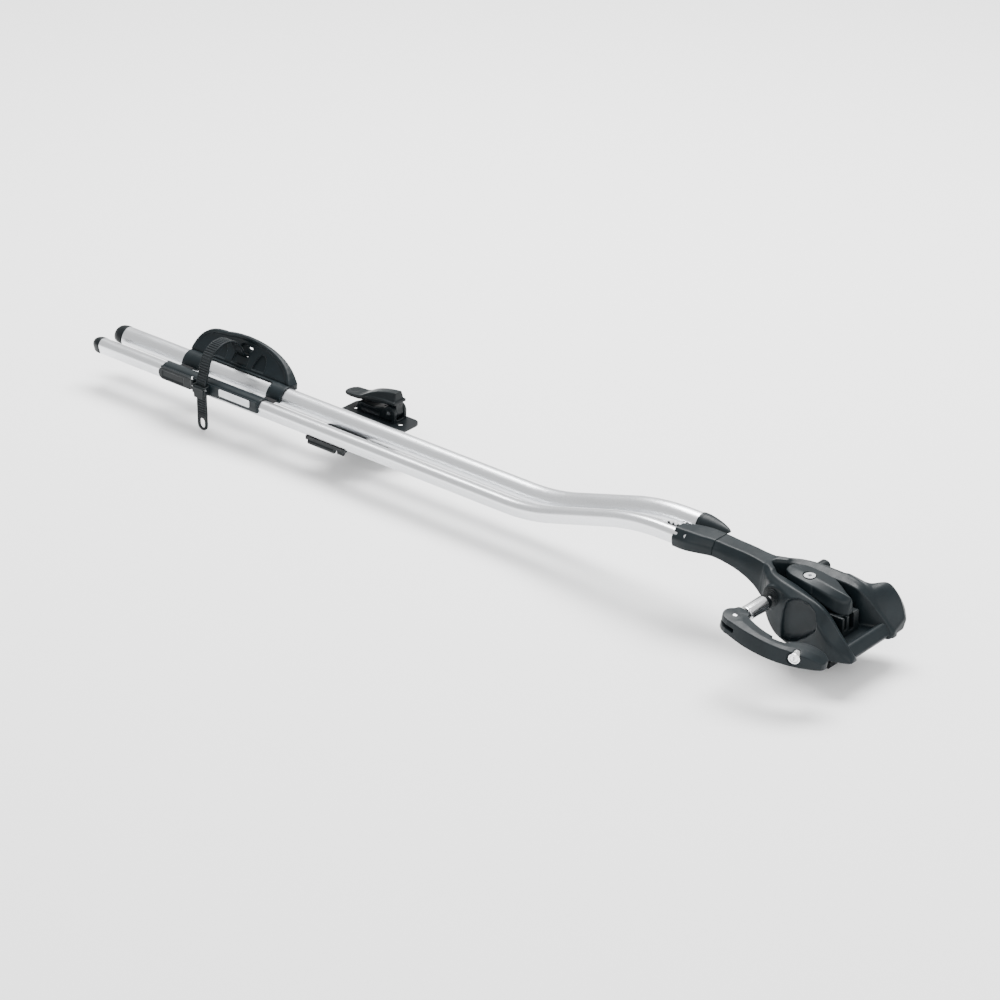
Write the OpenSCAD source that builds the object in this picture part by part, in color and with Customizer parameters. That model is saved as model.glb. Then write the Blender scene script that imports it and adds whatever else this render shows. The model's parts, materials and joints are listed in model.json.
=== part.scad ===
// Bicycle roof carrier that holds the bike by its front fork.
// Stations run along X from near the rails' rear ends (0) to the fork head.
// Heights run up Z from the rails' underside. Every node is drawn at its
// station and height, and placed() then moves it into the part's own frame,
// whose origin is the centre of the front load-bar seat.

/* [Rails] */
// Station of the rails' rear ends
rail_x0 = -8; // [-20:1:0]
// Station where the rails begin to rise
rail_straight = 800; // [760:5:820]
// Overall width over the two rails
rails_w = 76; // [74:1:80]
// Width of one rail
rail_w = 28; // [26:0.5:29]
// Height of one rail
rail_h = 22; // [20:0.5:23]
// Wall thickness of the extrusion
rail_wall = 1.8; // [1.4:0.1:2.4]
// Bend radius at the rails' underside
bend_r = 320; // [300:5:330]
// Height gained by the rise
rail_rise = 55; // [52:1:57]
// Width of the slot in the rail's underside
slot_w = 6.6; // [6.4:0.1:7]

/* [Fork head] */
// Station of the front load-bar seat's centre
seat_x = 1341; // [1338:1:1343]
// Depth of the load-bar seats below the rails
seat_drop = 20; // [18:0.5:22]
// Station of the skewer's axis
skewer_x = 1279; // [1277:1:1281]
// Height of the skewer's axis
skewer_z = 39; // [38:0.5:40]
// Distance between the fork's drop-outs
fork_w = 100; // [98:1:101]
// Diameter of the fork axle stubs
axle_d = 9; // [8:0.5:10]
// Diameter of the thrust bush
bush_d = 22; // [18:0.5:23]
// Downward tilt of the quick-release lever
lever_tilt = 12.5; // [10:0.5:14]

/* [Load bars] */
// Length of a load bar's section, along the carrier
bar_l = 32; // [28:1:34]
// Height of a load bar's section
bar_h = 22; // [20:1:24]

/* [Wheel tray] */
// Station of the cradle's rear end
tray_x0 = 124; // [120:1:126]
// Station of the cradle's front end
tray_x1 = 330; // [328:1:332]
// Height of the cradle above the rails' underside
cradle_h = 67; // [64:1:69]
// Width of the wheel strap
strap_w = 20; // [18:1:22]
// Thickness of the wheel strap
strap_t = 3; // [2.6:0.1:3.4]
// Length of the strap's free tail below the rails
strap_tail = 54; // [40:1:58]

/* [Rear foot] */
// Station of the rear load-bar seat's centre
foot_x = 461; // [458:1:463]
// Length of the foot plate
foot_l = 122; // [118:1:124]
// Reach of the foot plate to the far side
foot_reach = 107; // [105:1:110]
// Distance between the holes in the foot plate
foot_hole_gap = 88; // [87:1:90]
// Diameter of the holes in the foot plate
foot_hole_d = 9; // [8:0.5:10]

/* [Hidden] */
$fn = 48;

gap = 0.35;                       // running gap round every sliding piece
run_fit = 0.05;                   // radial clearance of pins and shafts
black = [0.13, 0.16, 0.19];       // moulded plastic
satin = [0.80, 0.81, 0.82];       // anodised aluminium
steel = [0.70, 0.71, 0.73];       // plated steel
soft = [0.06, 0.06, 0.07];        // rubber

half_w = rails_w / 2;
rail_mid = half_w - rail_w / 2;   // distance of a rail's middle from the centre plane
bend_angle = atan2(7, 24);        // the climb's slope: a 7-24-25 triangle
bend_run = bend_r * 7 / 25;
bend_lift = bend_r / 25;
climb_l = (rail_rise - 2 * bend_lift) * 25 / 7;
climb_end = rail_straight + 2 * bend_run + climb_l * 24 / 25;
rail_end = 1124;                  // station where the near rail ends, inside the neck
head_top_z = rail_rise + rail_h;

seat_z = -seat_drop;
pad_screw_x = 1335;               // screws that hold the head's rubber pads
pad_screw_y = 26;
rivet_x = [1091, 1098.5];         // rivets of the strap that ties the rails
rivet_y = -22;
side_rivet = [1089, 8];           // station and height of the rivet in the far rail's side
rivet_r = 1.95;
jaw_x = 1306;                     // station of the front jaw's bolt
lever_pin_y = -130;               // the quick-release lever's pivot
strap_x = 219;                    // middle of the wheel strap

module placed() translate([-seat_x, 0, seat_drop]) children();

// Extrusions of an outline: along X the outline is (Y, Z), along Y it is (X, Z)
module along_x(x0, x1) translate([x0, 0, 0]) rotate([90, 0, 90]) linear_extrude(x1 - x0) children();
module along_y(y0, y1) translate([0, y1, 0]) rotate([90, 0, 0]) linear_extrude(y1 - y0) children();
module along_z(z0, z1) translate([0, 0, z0]) linear_extrude(z1 - z0) children();
module box(x, y, z) translate([x[0], y[0], z[0]]) cube([x[1] - x[0], y[1] - y[0], z[1] - z[0]]);
module rod_x(x, y, z, r) translate([x[0], y, z]) rotate([0, 90, 0]) cylinder(h = x[1] - x[0], r = r);
module rod_y(x, y, z, r) translate([x, y[1], z]) rotate([90, 0, 0]) cylinder(h = y[1] - y[0], r = r);
module rod_z(x, y, z, r) translate([x, y, z[0]]) cylinder(h = z[1] - z[0], r = r);
module both_sides() { children(); mirror([0, 1, 0]) children(); }

// A flat outline with true round corners
module round_rect(x, y, r) {
    translate([x[0] + r, y[0]]) square([x[1] - x[0] - 2 * r, y[1] - y[0]]);
    translate([x[0], y[0] + r]) square([x[1] - x[0], y[1] - y[0] - 2 * r]);
    for (cx = [x[0] + r, x[1] - r], cy = [y[0] + r, y[1] - r]) translate([cx, cy]) circle(r);
}

// A shell lofted through sections [station, outline points]
module loft(sections)
    for (i = [0 : len(sections) - 2])
        hull() for (k = [i, i + 1])
            along_x(sections[k][0], sections[k][0] + 0.5) polygon(sections[k][1]);

// ---------------------------------------------------------------- rails
// One rail's section: an upright outer side with a ridge and a shoulder, then a
// long convex fall to the inner edge. Outer side at 0, inner edge at rail_w.
ridge_h = 12.5;
shoulder_w = 10;
function arc2(cx, cy, rx, ry, a0, a1, n) =
    [for (i = [0 : n]) let (a = a0 + (a1 - a0) * i / n) [cx + rx * cos(a), cy + ry * sin(a)]];
function rail_outline(g = 0) = concat(
    [[3 - g, -g]],
    arc2(shoulder_w, ridge_h, shoulder_w + g, rail_h - ridge_h + g, 180, 90, 6),
    arc2(shoulder_w, 3, rail_w - shoulder_w + g, rail_h - 3 + g, 80, 0, 8),
    [[rail_w - 1 + g, -g]]);
module far_side_outline(g = 0)
    polygon([for (p = rail_outline(g)) [half_w - p[0], p[1]]]);
module rail_section() difference() {
    far_side_outline();
    far_side_outline(-rail_wall);
    translate([rail_mid - slot_w / 2, -1]) square([slot_w, rail_wall + 2]);
}
// A bend in the upright plane: the part of a ring that lies in a wedge. The ring's
// section stands at bend_r, with the rail's top towards the centre or away from it.
module bend(centre, wedge) translate([centre[0], 0, centre[1]]) intersection() {
    rotate([90, 0, 0]) rotate_extrude($fn = 240) translate([bend_r, 0]) children();
    along_y(-rails_w, rails_w) polygon([[0, 0], wedge[0], wedge[1]]);
}
wedge_reach = 16;                 // size of the wedge, in units of the 7-24-25 triangle
module rail_run(end) {
    along_x(rail_x0, rail_straight) rail_section();
    bend([rail_straight, bend_r], wedge_reach * [[0, -25], [7, -24]])
        mirror([1, 0]) rotate(-90) rail_section();
    translate([rail_straight + bend_run, 0, bend_lift]) rotate([0, -bend_angle, 0])
        along_x(0, climb_l) rail_section();
    bend([climb_end, rail_rise - bend_r], wedge_reach * [[0, 25], [-7, 24]])
        rotate(-90) rail_section();
    translate([0, 0, rail_rise]) along_x(climb_end, end) rail_section();
}
module far_rail() color(satin) placed() difference() {
    rail_run(plug_x);
    rod_y(side_rivet[0], [5, 16], rail_rise + side_rivet[1], rivet_r + run_fit);
}
module near_rail() color(satin) placed() difference() {
    mirror([0, 1, 0]) rail_run(rail_end);
    for (x = rivet_x) rod_z(x, rivet_y, [head_top_z - 10, head_top_z + 1], rivet_r + run_fit);
}

// Rear end caps: a plug inside the rail and a rounded nose behind it
module end_cap(nose) {
    along_x(rail_x0 - 2, rail_x0 + 14) difference() {
        far_side_outline(-rail_wall - 0.1);
        far_side_outline(-rail_wall - 2);
        translate([rail_mid - slot_w / 2, -1]) square([slot_w, 6]);
    }
    hull() {
        along_x(rail_x0 - 4, rail_x0) far_side_outline(0.4);
        translate([0, 0, -0.5]) along_x(rail_x0 - nose * 0.7, rail_x0 - 4) far_side_outline(-2);
        translate([0, 0, -2.5]) along_x(rail_x0 - nose, rail_x0 - 6) far_side_outline(-5);
    }
}
module far_end_cap() color(black) placed() end_cap(23);
module near_end_cap() color(black) placed() mirror([0, 1, 0]) end_cap(19);

// ---------------------------------------------------------------- neck
// A sleeve round the near rail's end that turns into the fork head's neck
neck_x0 = 1104;
neck_x1 = 1244;
neck_seam = [1160, [[-22, 51], [-21, 62], [-13, 69], [10, 69], [16, 60], [16, 50]]];
module neck_moulding() color(black) placed() difference() {
    loft([
        [neck_x0, [[-40.5, 56], [-41, 68], [-31, 80], [-14, 79], [-8, 60], [-10, 53], [-36, 53]]],
        [rail_end + 2, [[-40, 55], [-40.5, 68], [-30, 79.5], [-8, 78], [4, 61], [4, 51], [-34, 52]]],
        [1142, [[-33, 53], [-34, 65], [-26, 77], [4, 76], [13, 62], [12, 51], [-29, 51]]],
        neck_seam,
        [1204, [[-18, 45], [-16, 60], [-12, 67.5], [12, 67.5], [16, 60], [18, 45]]],
        [neck_x1, [[-24, 33], [-20, 52], [-14, 64.5], [14, 64.5], [20, 52], [24, 33]]]]);
    mirror([0, 1, 0]) rail_socket();
    for (x = neck_bolt_x) {
        rod_z(x, -rail_mid, [40, rail_rise], 2.55);
        rod_z(x, -rail_mid, [40, 52.5], 3.9);
    }
}
// The room that a rail's end takes up in the neck
module rail_socket() translate([0, 0, rail_rise]) along_x(neck_x0 - 10, rail_end + 0.1)
    far_side_outline(0.05);

// Domed plug that closes the far rail beside the neck
plug_x = 1104;
module far_rail_plug() color(black) placed() {
    translate([0, 0, rail_rise]) along_x(plug_x - 12, plug_x + 2) difference() {
        far_side_outline(-rail_wall - 0.1);
        far_side_outline(-rail_wall - 2);
        translate([rail_mid - slot_w / 2, -1]) square([slot_w, 6]);
    }
    difference() {
        hull() {
            translate([0, 0, rail_rise]) along_x(plug_x, plug_x + 6) far_side_outline(1);
            translate([0, 0, rail_rise]) along_x(plug_x + 20, plug_x + 22) far_side_outline(-0.5);
            translate([plug_x + 50, 20.5, rail_rise + 8]) sphere(5, $fn = 24);
        }
        neck_room();
    }
}
// The neck's body, from which the plug keeps clear
module neck_room() loft([
    [1095, [[-41, 50], [-41, 90], [9, 90], [9, 50]]],
    [1128, [[-41, 45], [-41, 90], [9.5, 90], [9.5, 45]]],
    [1142, [[-41, 45], [-41, 90], [15, 90], [15, 45]]],
    [1166, [[-41, 45], [-41, 90], [18.5, 90], [18.5, 45]]]]);

// A bent strap that ties the two rails together behind the neck: over the near
// rail's inner shoulder, across the gap and up the far rail's inner side
tab_x = [1085, 1103.7];
tab_t = 2.25;
tab_seat = head_top_z + 0.6;      // flat seats for the rivets' heads
side_seat = 8.6;
tab_low = 3;                      // height of the strap's underside in the gap
function flipped(points) = [for (i = [len(points) - 1 : -1 : 0]) points[i]];
function near_shoulder(g, low) =
    [for (p = rail_outline(g)) if (p[0] >= 11 && p[1] >= low) [p[0] - half_w, p[1]]];
function far_flank(g, low) =
    [for (p = rail_outline(g)) if (p[0] > 20 && p[1] >= low && p[1] <= 12.5) [half_w - p[0], p[1]]];
module tab_section() polygon(concat(
    near_shoulder(tab_t, tab_low + tab_t), flipped(far_flank(tab_t, tab_low + tab_t)),
    far_flank(run_fit, tab_low - 0.1), flipped(near_shoulder(run_fit, tab_low - 0.1))));
module bridge_tab() color(black) placed() difference() {
    translate([0, 0, rail_rise]) along_x(tab_x[0], tab_x[1]) tab_section();
    for (x = rivet_x) {
        rod_z(x, rivet_y, [head_top_z - 5, head_top_z + 4], rivet_r + run_fit);
        rod_z(x, rivet_y, [tab_seat, head_top_z + 6], 3.35);
    }
    rod_y(side_rivet[0], [0, 16], rail_rise + side_rivet[1], rivet_r + run_fit);
    rod_y(side_rivet[0], [0, side_seat], rail_rise + side_rivet[1], 3.35);
}
module bridge_rivets() color(steel) placed() {
    for (x = rivet_x) {
        rod_z(x, rivet_y, [head_top_z - 7, tab_seat + 0.1], rivet_r);
        rod_z(x, rivet_y, [tab_seat + 0.05, tab_seat + 1.9], 3.2);
    }
    rod_y(side_rivet[0], [side_seat - 0.1, 15], rail_rise + side_rivet[1], rivet_r);
    rod_y(side_rivet[0], [side_seat - 1.6, side_seat - 0.05], rail_rise + side_rivet[1], 3.1);
}
// Screws that hold the near rail's end in the neck, from below
neck_bolt_x = [1110, 1119];
module neck_bolts() color(steel) placed()
    for (x = neck_bolt_x) {
        rod_z(x, -rail_mid, [51, rail_rise + rail_wall + 4], 2.5);
        rod_z(x, -rail_mid, [49.5, 52.4], 3.8);
    }

// ---------------------------------------------------------------- fork head
// One arm's section at a station: inner foot, inner top, ridge, outer top, outer foot
function arm(x, inner, ridge, top, out, out_top, foot) = [x, [
    [inner, foot], [inner, top - 3], [ridge, top], [out, out_top], [out - 3, foot]]];
arm_line = [
    arm(1244.5, 2, 14, 64, 22, 52, 33),
    arm(1262, 15, 25, 64, 38, 53, 14),
    arm(1284, 19, 34, 63.5, 52, 44, 5),
    arm(1306, 20, 38.5, 62, 60, 35, 0),
    arm(1352, 23, 44, 55.5, 68, 27, -9),
    arm(1380, 26, 42, 32, 66, 18, -11),
    arm(1400, 30, 42, 10, 60, 8, -11),
    arm(1413, 36, 43, -4, 52, -4, -10)];
module head_arm() loft(arm_line);
// The horn at the head's far front corner
module far_horn() {
    loft([[1352, [[56, -9], [54, 26], [70, 31], [76, 20], [70, -9]]],
          [1379, [[56, -11], [54, 24], [74, 42], [81, 36], [76, -10]]],
          [1400, [[50, -11], [50, 10], [72, 26], [78, 18], [72, -12]]],
          [1413, [[46, -9], [46, -3], [66, 8], [73, 4], [64, -9]]]]);
}
module head_body() color(black) placed() difference() {
    union() {
        both_sides() head_arm();
        far_horn();
        box([1318, 1364], [-36, 36], [-14, 2]);
    }
    // the recess in each arm's outer side
    both_sides() loft([
        [1300, [[46, 10], [46, 38], [80, 38], [80, 12]]],
        [1328, [[45, 4], [45, 44], [80, 46], [80, 6]]],
        [1350, [[49, 10], [49, 38], [80, 36], [80, 12]]]]);
    // bore for the axle tube and seats for its collars
    rod_y(skewer_x, [-70, 70], skewer_z, axle_d / 2 + 0.05);
    both_sides() rod_y(skewer_x, [36, 80], skewer_z, 18.1);
    for (y = [-pad_screw_y, pad_screw_y]) rod_z(pad_screw_x, y, [-20, -1.5], 2.5 + run_fit);
    // way for the clamp bolt and the jaw's leg
    box([jaw_x - 12, jaw_x + 12], [-15, 15], [-30, 60]);
}
// Tongue-shaped cover over the clamp bolt
module head_cover() color(black) placed() difference() {
    loft([
        [1276, [[-11, 58], [-11, 65], [0, 67], [11, 65], [11, 58]]],
        [1306, [[-18.5, 52], [-18.5, 61], [0, 63.5], [18.5, 61], [18.5, 52]]],
        [1332, [[-18, 46], [-16, 56], [0, 60], [18, 57], [18, 46]]],
        [1354, [[-15, 38], [-12, 50], [0, 57], [13, 53], [15, 38]]],
        [1373, [[-9, 30], [-5, 46], [0, 54], [6, 47], [9, 30]]]]);
    rod_z(jaw_x, 0, [30, 80], 4.4);
    rod_z(jaw_x, 0, [57, 80], 8.6);
}
// Two-pronged block that guides the front of the jaw
module guide_block() color(black) placed() difference() {
    along_z(2.1, 29.5) round_rect([1352, 1377], [-20, 16], 3);
    box([1366, 1390], [-6, 4], [8, 40]);
    box([1340, 1358], [-14, 12], [14, 40]);
}
// Bar across the head's front, cut to the arms' inner faces
module front_crossbar() color(black) placed() intersection() {
    along_y(-40, 40) polygon([
        [1392, 4], [1396, 8], [1400, 8.5], [1403, 7], [1411, -5], [1409, -10], [1394, -11], [1392, -8]]);
    both_sides() along_z(-20, 20) polygon([[1390, -1], [1390, 27.8], [1400.5, 29.8], [1413, 35.8], [1413, -1]]);
}
// Ringed collars that the fork's drop-outs rest against
collar_steps = [[36.5, 42, 18], [42, 46, 15.5], [46, 48, 13], [48, 50, 11]];
module fork_collars() color(black) placed() both_sides() difference() {
    for (s = collar_steps) rod_y(skewer_x, [s[0], s[1]], skewer_z, s[2]);
    rod_y(skewer_x, [30, 60], skewer_z, axle_d / 2 + 0.02);
}
module axle_tube() color(steel) placed() difference() {
    rod_y(skewer_x, [-fork_w / 2 - 3.5, fork_w / 2 + 3.5], skewer_z, axle_d / 2);
    rod_y(skewer_x, [-fork_w, fork_w], skewer_z, 2.5 + run_fit);
}
// Rubber pads that rest on the front load bar
module front_bar_pads() color(soft) placed() difference() {
    along_z(seat_z, -14) round_rect([seat_x - 15, seat_x + 15], [-34, 34], 4);
    for (y = [-pad_screw_y, pad_screw_y]) rod_z(pad_screw_x, y, [-21, 0], 4.6);
}
module head_screws() color(steel) placed()
    for (y = [-pad_screw_y, pad_screw_y]) {
        rod_z(pad_screw_x, y, [-15.9, -2], 2.5);
        rod_z(pad_screw_x, y, [-18, -15.9], 4.5);
    }

// ---------------------------------------------------------------- skewer and quick-release lever
// The lever's own frame: pivot at the origin, arm along +X, outer side towards -Y
module lever_frame() translate([skewer_x, lever_pin_y, skewer_z]) rotate([0, lever_tilt, 0]) children();
module skewer_rod() color(steel) placed() {
    rod_y(skewer_x, [lever_pin_y + 3, fork_w / 2 + 22], skewer_z, 2.5);
    lever_frame() difference() {
        rod_z(0, 0, [-2.5, 2.5], 7);
        rod_z(0, 0, [-5, 5], 3.02);
    }
}
module skewer_nut() color(black) placed() difference() {
    union() {
        rod_y(skewer_x, [fork_w / 2 + 9, fork_w / 2 + 23], skewer_z, bush_d / 2 - 2);
        rod_y(skewer_x, [fork_w / 2 + 23, fork_w / 2 + 26], skewer_z, bush_d / 2 - 4);
    }
    rod_y(skewer_x, [0, fork_w / 2 + 22], skewer_z, 2.52);
}
bush_y = [-105, -fork_w / 2 - 16];
module thrust_bush() color(steel) placed() difference() {
    union() {
        rod_y(skewer_x, bush_y, skewer_z, bush_d / 2 - 2);
        rod_y(skewer_x, [bush_y[0] + 6, bush_y[1] - 3], skewer_z, bush_d / 2 - 1);
        rod_y(skewer_x, [bush_y[1] - 3, bush_y[1]], skewer_z, bush_d / 2);
    }
    rod_y(skewer_x, [-200, 0], skewer_z, 2.52);
}
// Ribbed ring that grips the near drop-out
module grip_ring() color(black) placed() difference() {
    union() {
        rod_y(skewer_x, [bush_y[1] + 0.05, bush_y[1] + 7], skewer_z, bush_d / 2 - 2);
        for (i = [0 : 2])
            rod_y(skewer_x, [bush_y[1] + 0.4 + 2.4 * i, bush_y[1] + 1.8 + 2.4 * i], skewer_z, bush_d / 2 - 0.8);
    }
    rod_y(skewer_x, [-200, 0], skewer_z, 2.52);
}
module cam_pin() color(steel) placed() lever_frame() rod_z(0, 0, [-10.5, 10.5], 3);

lever_h = 22;
lever_end_r = 16;
// The lever's plan: a round end, a long shallow outer curve and a tip that turns in
function bezier(p, n) = [for (i = [0 : n]) let (t = i / n, u = 1 - t)
    u * u * u * p[0] + 3 * u * u * t * p[1] + 3 * u * t * t * p[2] + t * t * t * p[3]];
lever_outer = bezier([[0, -16], [55, -28], [100, -10], [131, 24]], 12);
lever_tip = bezier([[131, 24], [136, 33], [133, 44], [122, 44]], 5);
lever_inner = concat(bezier([[122, 44], [104, 41], [92, 34], [84, 22]], 5),
    bezier([[84, 22], [74, 8], [52, 2], [18, 11]], 7));
module lever_plan() {
    circle(lever_end_r);
    polygon(concat(lever_outer, lever_tip, lever_inner, [[0, 16]]));
}
lock_at = [101, 0];
lock_r = 8;
plug_r = 5.6;
lock_turn = 22;                   // the lock faces outwards and a little forwards
module qr_lever() color(black) placed() lever_frame() difference() {
    along_z(-lever_h / 2, lever_h / 2) lever_plan();
    // slot for the rod's eye, open all round the back of the round end
    along_z(-3, 3) difference() {
        union() {
            circle(lever_end_r + 4);
            translate([-40, -8]) square([40, 60]);
        }
        translate([8.2, -30]) square([40, 60]);
    }
    rod_z(0, 0, [-20, 20], 3 + run_fit);
    // hollow underside
    along_z(-lever_h, 4) difference() {
        polygon([[34, -10], [70, -12], [70, 10], [34, 6]]);
        circle(26);
    }
    lock_place() rod_y(0, [-30, 6], 0, lock_r + run_fit);
    // the top falls towards the tip
    along_y(-40, 60) polygon([[112, 11], [140, -4], [140, 20], [112, 20]]);
}
lock_sink = 7;                    // how far the lock stands back along its own axis
module lock_place() translate([lock_at[0], lock_at[1], 1]) rotate([0, 0, lock_turn])
    translate([0, lock_sink, 0]) children();
module lock_barrel() color(steel) placed() lever_frame() lock_place() difference() {
    rod_y(0, [-8.6, 5.9], 0, lock_r);
    rod_y(0, [-20, 4], 0, plug_r + run_fit);
}
module lock_plug() color(steel) placed() lever_frame() lock_place() difference() {
    rod_y(0, [-9, 3.8], 0, plug_r);
    box([-0.8, 0.8], [-12, -4], [-3, 3]);
}

// ---------------------------------------------------------------- front clamp
bar_x = [seat_x - bar_l / 2, seat_x + bar_l / 2];
grip_z = seat_z - bar_h;          // underside of the load bar
module front_jaw() color(black) placed() difference() {
    union() {
        along_y(-22, 22) polygon([
            [bar_x[0] - 11, grip_z - 8], [bar_x[0] - 2, grip_z - 10], [bar_x[1] + 1, grip_z - 8.5],
            [bar_x[1] + 4, grip_z - 5], [bar_x[1] + 3, grip_z + 1.5], [bar_x[1] - 1, grip_z - 1.6],
            [bar_x[0] - 4, grip_z - 1.6], [bar_x[0] - 5, grip_z + 4], [bar_x[0] - 11, grip_z + 2]]);
        along_z(grip_z - 6, -16) round_rect([jaw_x - 10, jaw_x + 10], [-13, 13], 3);
    }
    rod_z(jaw_x, 0, [-80, 0], 4.4);
    rod_z(jaw_x, 0, [-80, grip_z + 4], 7.05);
}
module front_jaw_pad() color(soft) placed() box([bar_x[0], bar_x[1] - 2], [-20, 20], [grip_z - 1.6, grip_z]);
module jaw_nut() color(steel) placed() difference() {
    rod_z(jaw_x, 0, [grip_z - 5, grip_z + 4], 7);
    rod_z(jaw_x, 0, [grip_z - 20, grip_z + 20], 4 + run_fit);
}
module clamp_bolt() color(steel) placed() difference() {
    union() {
        rod_z(jaw_x, 0, [grip_z - 6, 57.5], 4);
        rod_z(jaw_x, 0, [57.1, 63.5], 8);
    }
    along_z(59.5, 70) translate([jaw_x, 0]) circle(3.4, $fn = 6);
}

// ---------------------------------------------------------------- wheel tray
skin_t = 2.6;                     // thickness of the tray's sleeves
sleeve_x = [131, tray_x1 - 4];
// A sleeve's section: the rail's outline grown by the gap and the wall, kept
// outward of one Y and above one height
module skin_section(from_y, from_z) difference() {
    far_side_outline(gap + skin_t);
    far_side_outline(gap);
    translate([-20, -20]) square([from_y + 20, 60]);
    translate([-20, -30]) square([80, 30 + from_z]);
}
// One moulding: the clip along the near rail, the saddle bands across the
// groove and the sleeve under the cradle on the far rail
module tray_saddle() color(black) placed() {
    mirror([0, 1, 0]) {
        along_x(sleeve_x[0], sleeve_x[1]) skin_section(19, 6);
        along_x(label_x[0] - 3, label_x[1] + 3) difference() {
            translate([half_w - 5, 8]) square([5 + gap + skin_t, 16]);
            far_side_outline(gap);
        }
    }
    along_x(tray_x0, tray_x1 - 1) skin_section(26, -0.1);
    for (x = [[tray_x0, tray_x0 + 32], [tray_x1 - 30, tray_x1 - 1]])
        along_x(x[0], x[1]) saddle_band();
}
module saddle_band() difference() {
    union() {
        far_side_outline(gap + skin_t + 0.4);
        mirror([1, 0]) intersection() {
            far_side_outline(gap + skin_t);
            translate([-20, 0]) square([42, 60]);
        }
        translate([-16, 2.5]) square([32, 5]);
    }
    far_side_outline(gap);
    mirror([1, 0]) far_side_outline(gap);
    translate([-60, -30]) square([120, 32.5]);
}
// Arched wall that stands beside the wheel on the far rail
arch_x = [tray_x0, tray_x1 - 1];
cradle_low = 24;
cradle_arch = concat(
    bezier([[arch_x[0], cradle_low], [arch_x[0], 52], [arch_x[0] + 26, 62],
            [arch_x[0] + 58, cradle_h - 5]], 8),
    bezier([[arch_x[0] + 58, cradle_h - 5], [arch_x[0] + 101, cradle_h + 5],
            [arch_x[1] - 31, cradle_h + 1], [arch_x[1], cradle_low]], 12),
    [[arch_x[1], 10], [arch_x[0], 10]]);
cradle_foot = [[28, 27], [30, 25.6], [40.2, 17], [46.5, 17], [46.5, 24], [53.5, 46],
               [56, 72], [52.5, 72], [40, 36]];
strap_slot_z = [35, 44.5];
window_r = [[152, 33, 9], [184, 36, 11], [262, 34, 9]];   // station, height and radius
module tray_cradle() color(black) placed() difference() {
    intersection() {
        along_x(arch_x[0], arch_x[1]) polygon(cradle_foot);
        along_y(20, 60) polygon(cradle_arch);
        along_x(arch_x[0] - 1, arch_x[1] + 1) difference() {
            square([60, 80]);
            far_side_outline(gap + skin_t + 0.45);
        }
    }
    // slots for the strap and for its spare loop
    box([strap_x - 11, strap_x + 11], [36, 60], strap_slot_z);
    along_y(30, 60) round_rect([strap_x + 14, strap_x + 27], [46, 52], 2.9);
    // pockets in the wall's inner face
    for (w = window_r) along_y(20, 44) translate([w[0], w[1]]) circle(w[2]);
}
// Rubber pads on the saddle bands, under the tyre
module cradle_pads() color(soft) placed()
    for (x = [[tray_x0 + 4, tray_x0 + 28], [tray_x1 - 27, tray_x1 - 5]])
        box(x, [-6, 6], [7.5, 9.5]);
label_x = [252, 314];
module label_plate() color([0.85, 0.86, 0.87]) placed()
    along_y(-half_w - gap - skin_t - 1.2, -half_w - gap - skin_t - 0.02)
        round_rect(label_x, [11.5, 22.5], 2);

// The wheel strap: from its anchor in the cradle's wall, over the wheel's place,
// down through the buckle to a free tail with a finger hole
strap_y = -half_w - 7;            // the buckle holds the strap's middle here
strap_crown = [0, 38];            // centre of the arch
strap_bow = 38;                   // its radius
strap_anchor = [55.6, 38];        // the bead behind the cradle's wall
strap_line = concat([strap_anchor, [47, 38.8], [41.2, 41.6], [38.6, 46]],
    [for (a = [18 : 13 : 174]) strap_crown + strap_bow * [cos(a), sin(a)]],
    [[-41, 34], [-44, 27.5], [strap_y, 22.5], [strap_y, 19]]);
module strap_run(points, half_t)
    for (i = [0 : len(points) - 2]) hull()
        for (p = [points[i], points[i + 1]])
            rod_x([strap_x - strap_w / 2, strap_x + strap_w / 2], p[0], p[1], half_t, $fn = 16);
module wheel_strap() color(black) placed() {
    difference() {
        union() {
            strap_run(strap_line, strap_t / 2);
            rod_x([strap_x - strap_w / 2, strap_x + strap_w / 2], strap_anchor[0], strap_anchor[1], 4.2);
        }
        rod_x([strap_x - 20, strap_x + 20], strap_anchor[0], strap_anchor[1], 2 + run_fit);
    }
    difference() {
        along_y(strap_y - strap_t / 2, strap_y + strap_t / 2) {
            translate([strap_x - strap_w / 2, -strap_tail + strap_w / 2])
                square([strap_w, 20 + strap_tail - strap_w / 2]);
            translate([strap_x, -strap_tail + strap_w / 2]) circle(strap_w / 2);
        }
        along_y(strap_y - 10, strap_y + 10) round_rect([strap_x - 5, strap_x + 5], [-50, -34], 4.9);
    }
}
module strap_anchor_pin() color(steel) placed() {
    rod_x([strap_x - 13, strap_x + 13], strap_anchor[0], strap_anchor[1], 2);
}
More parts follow.
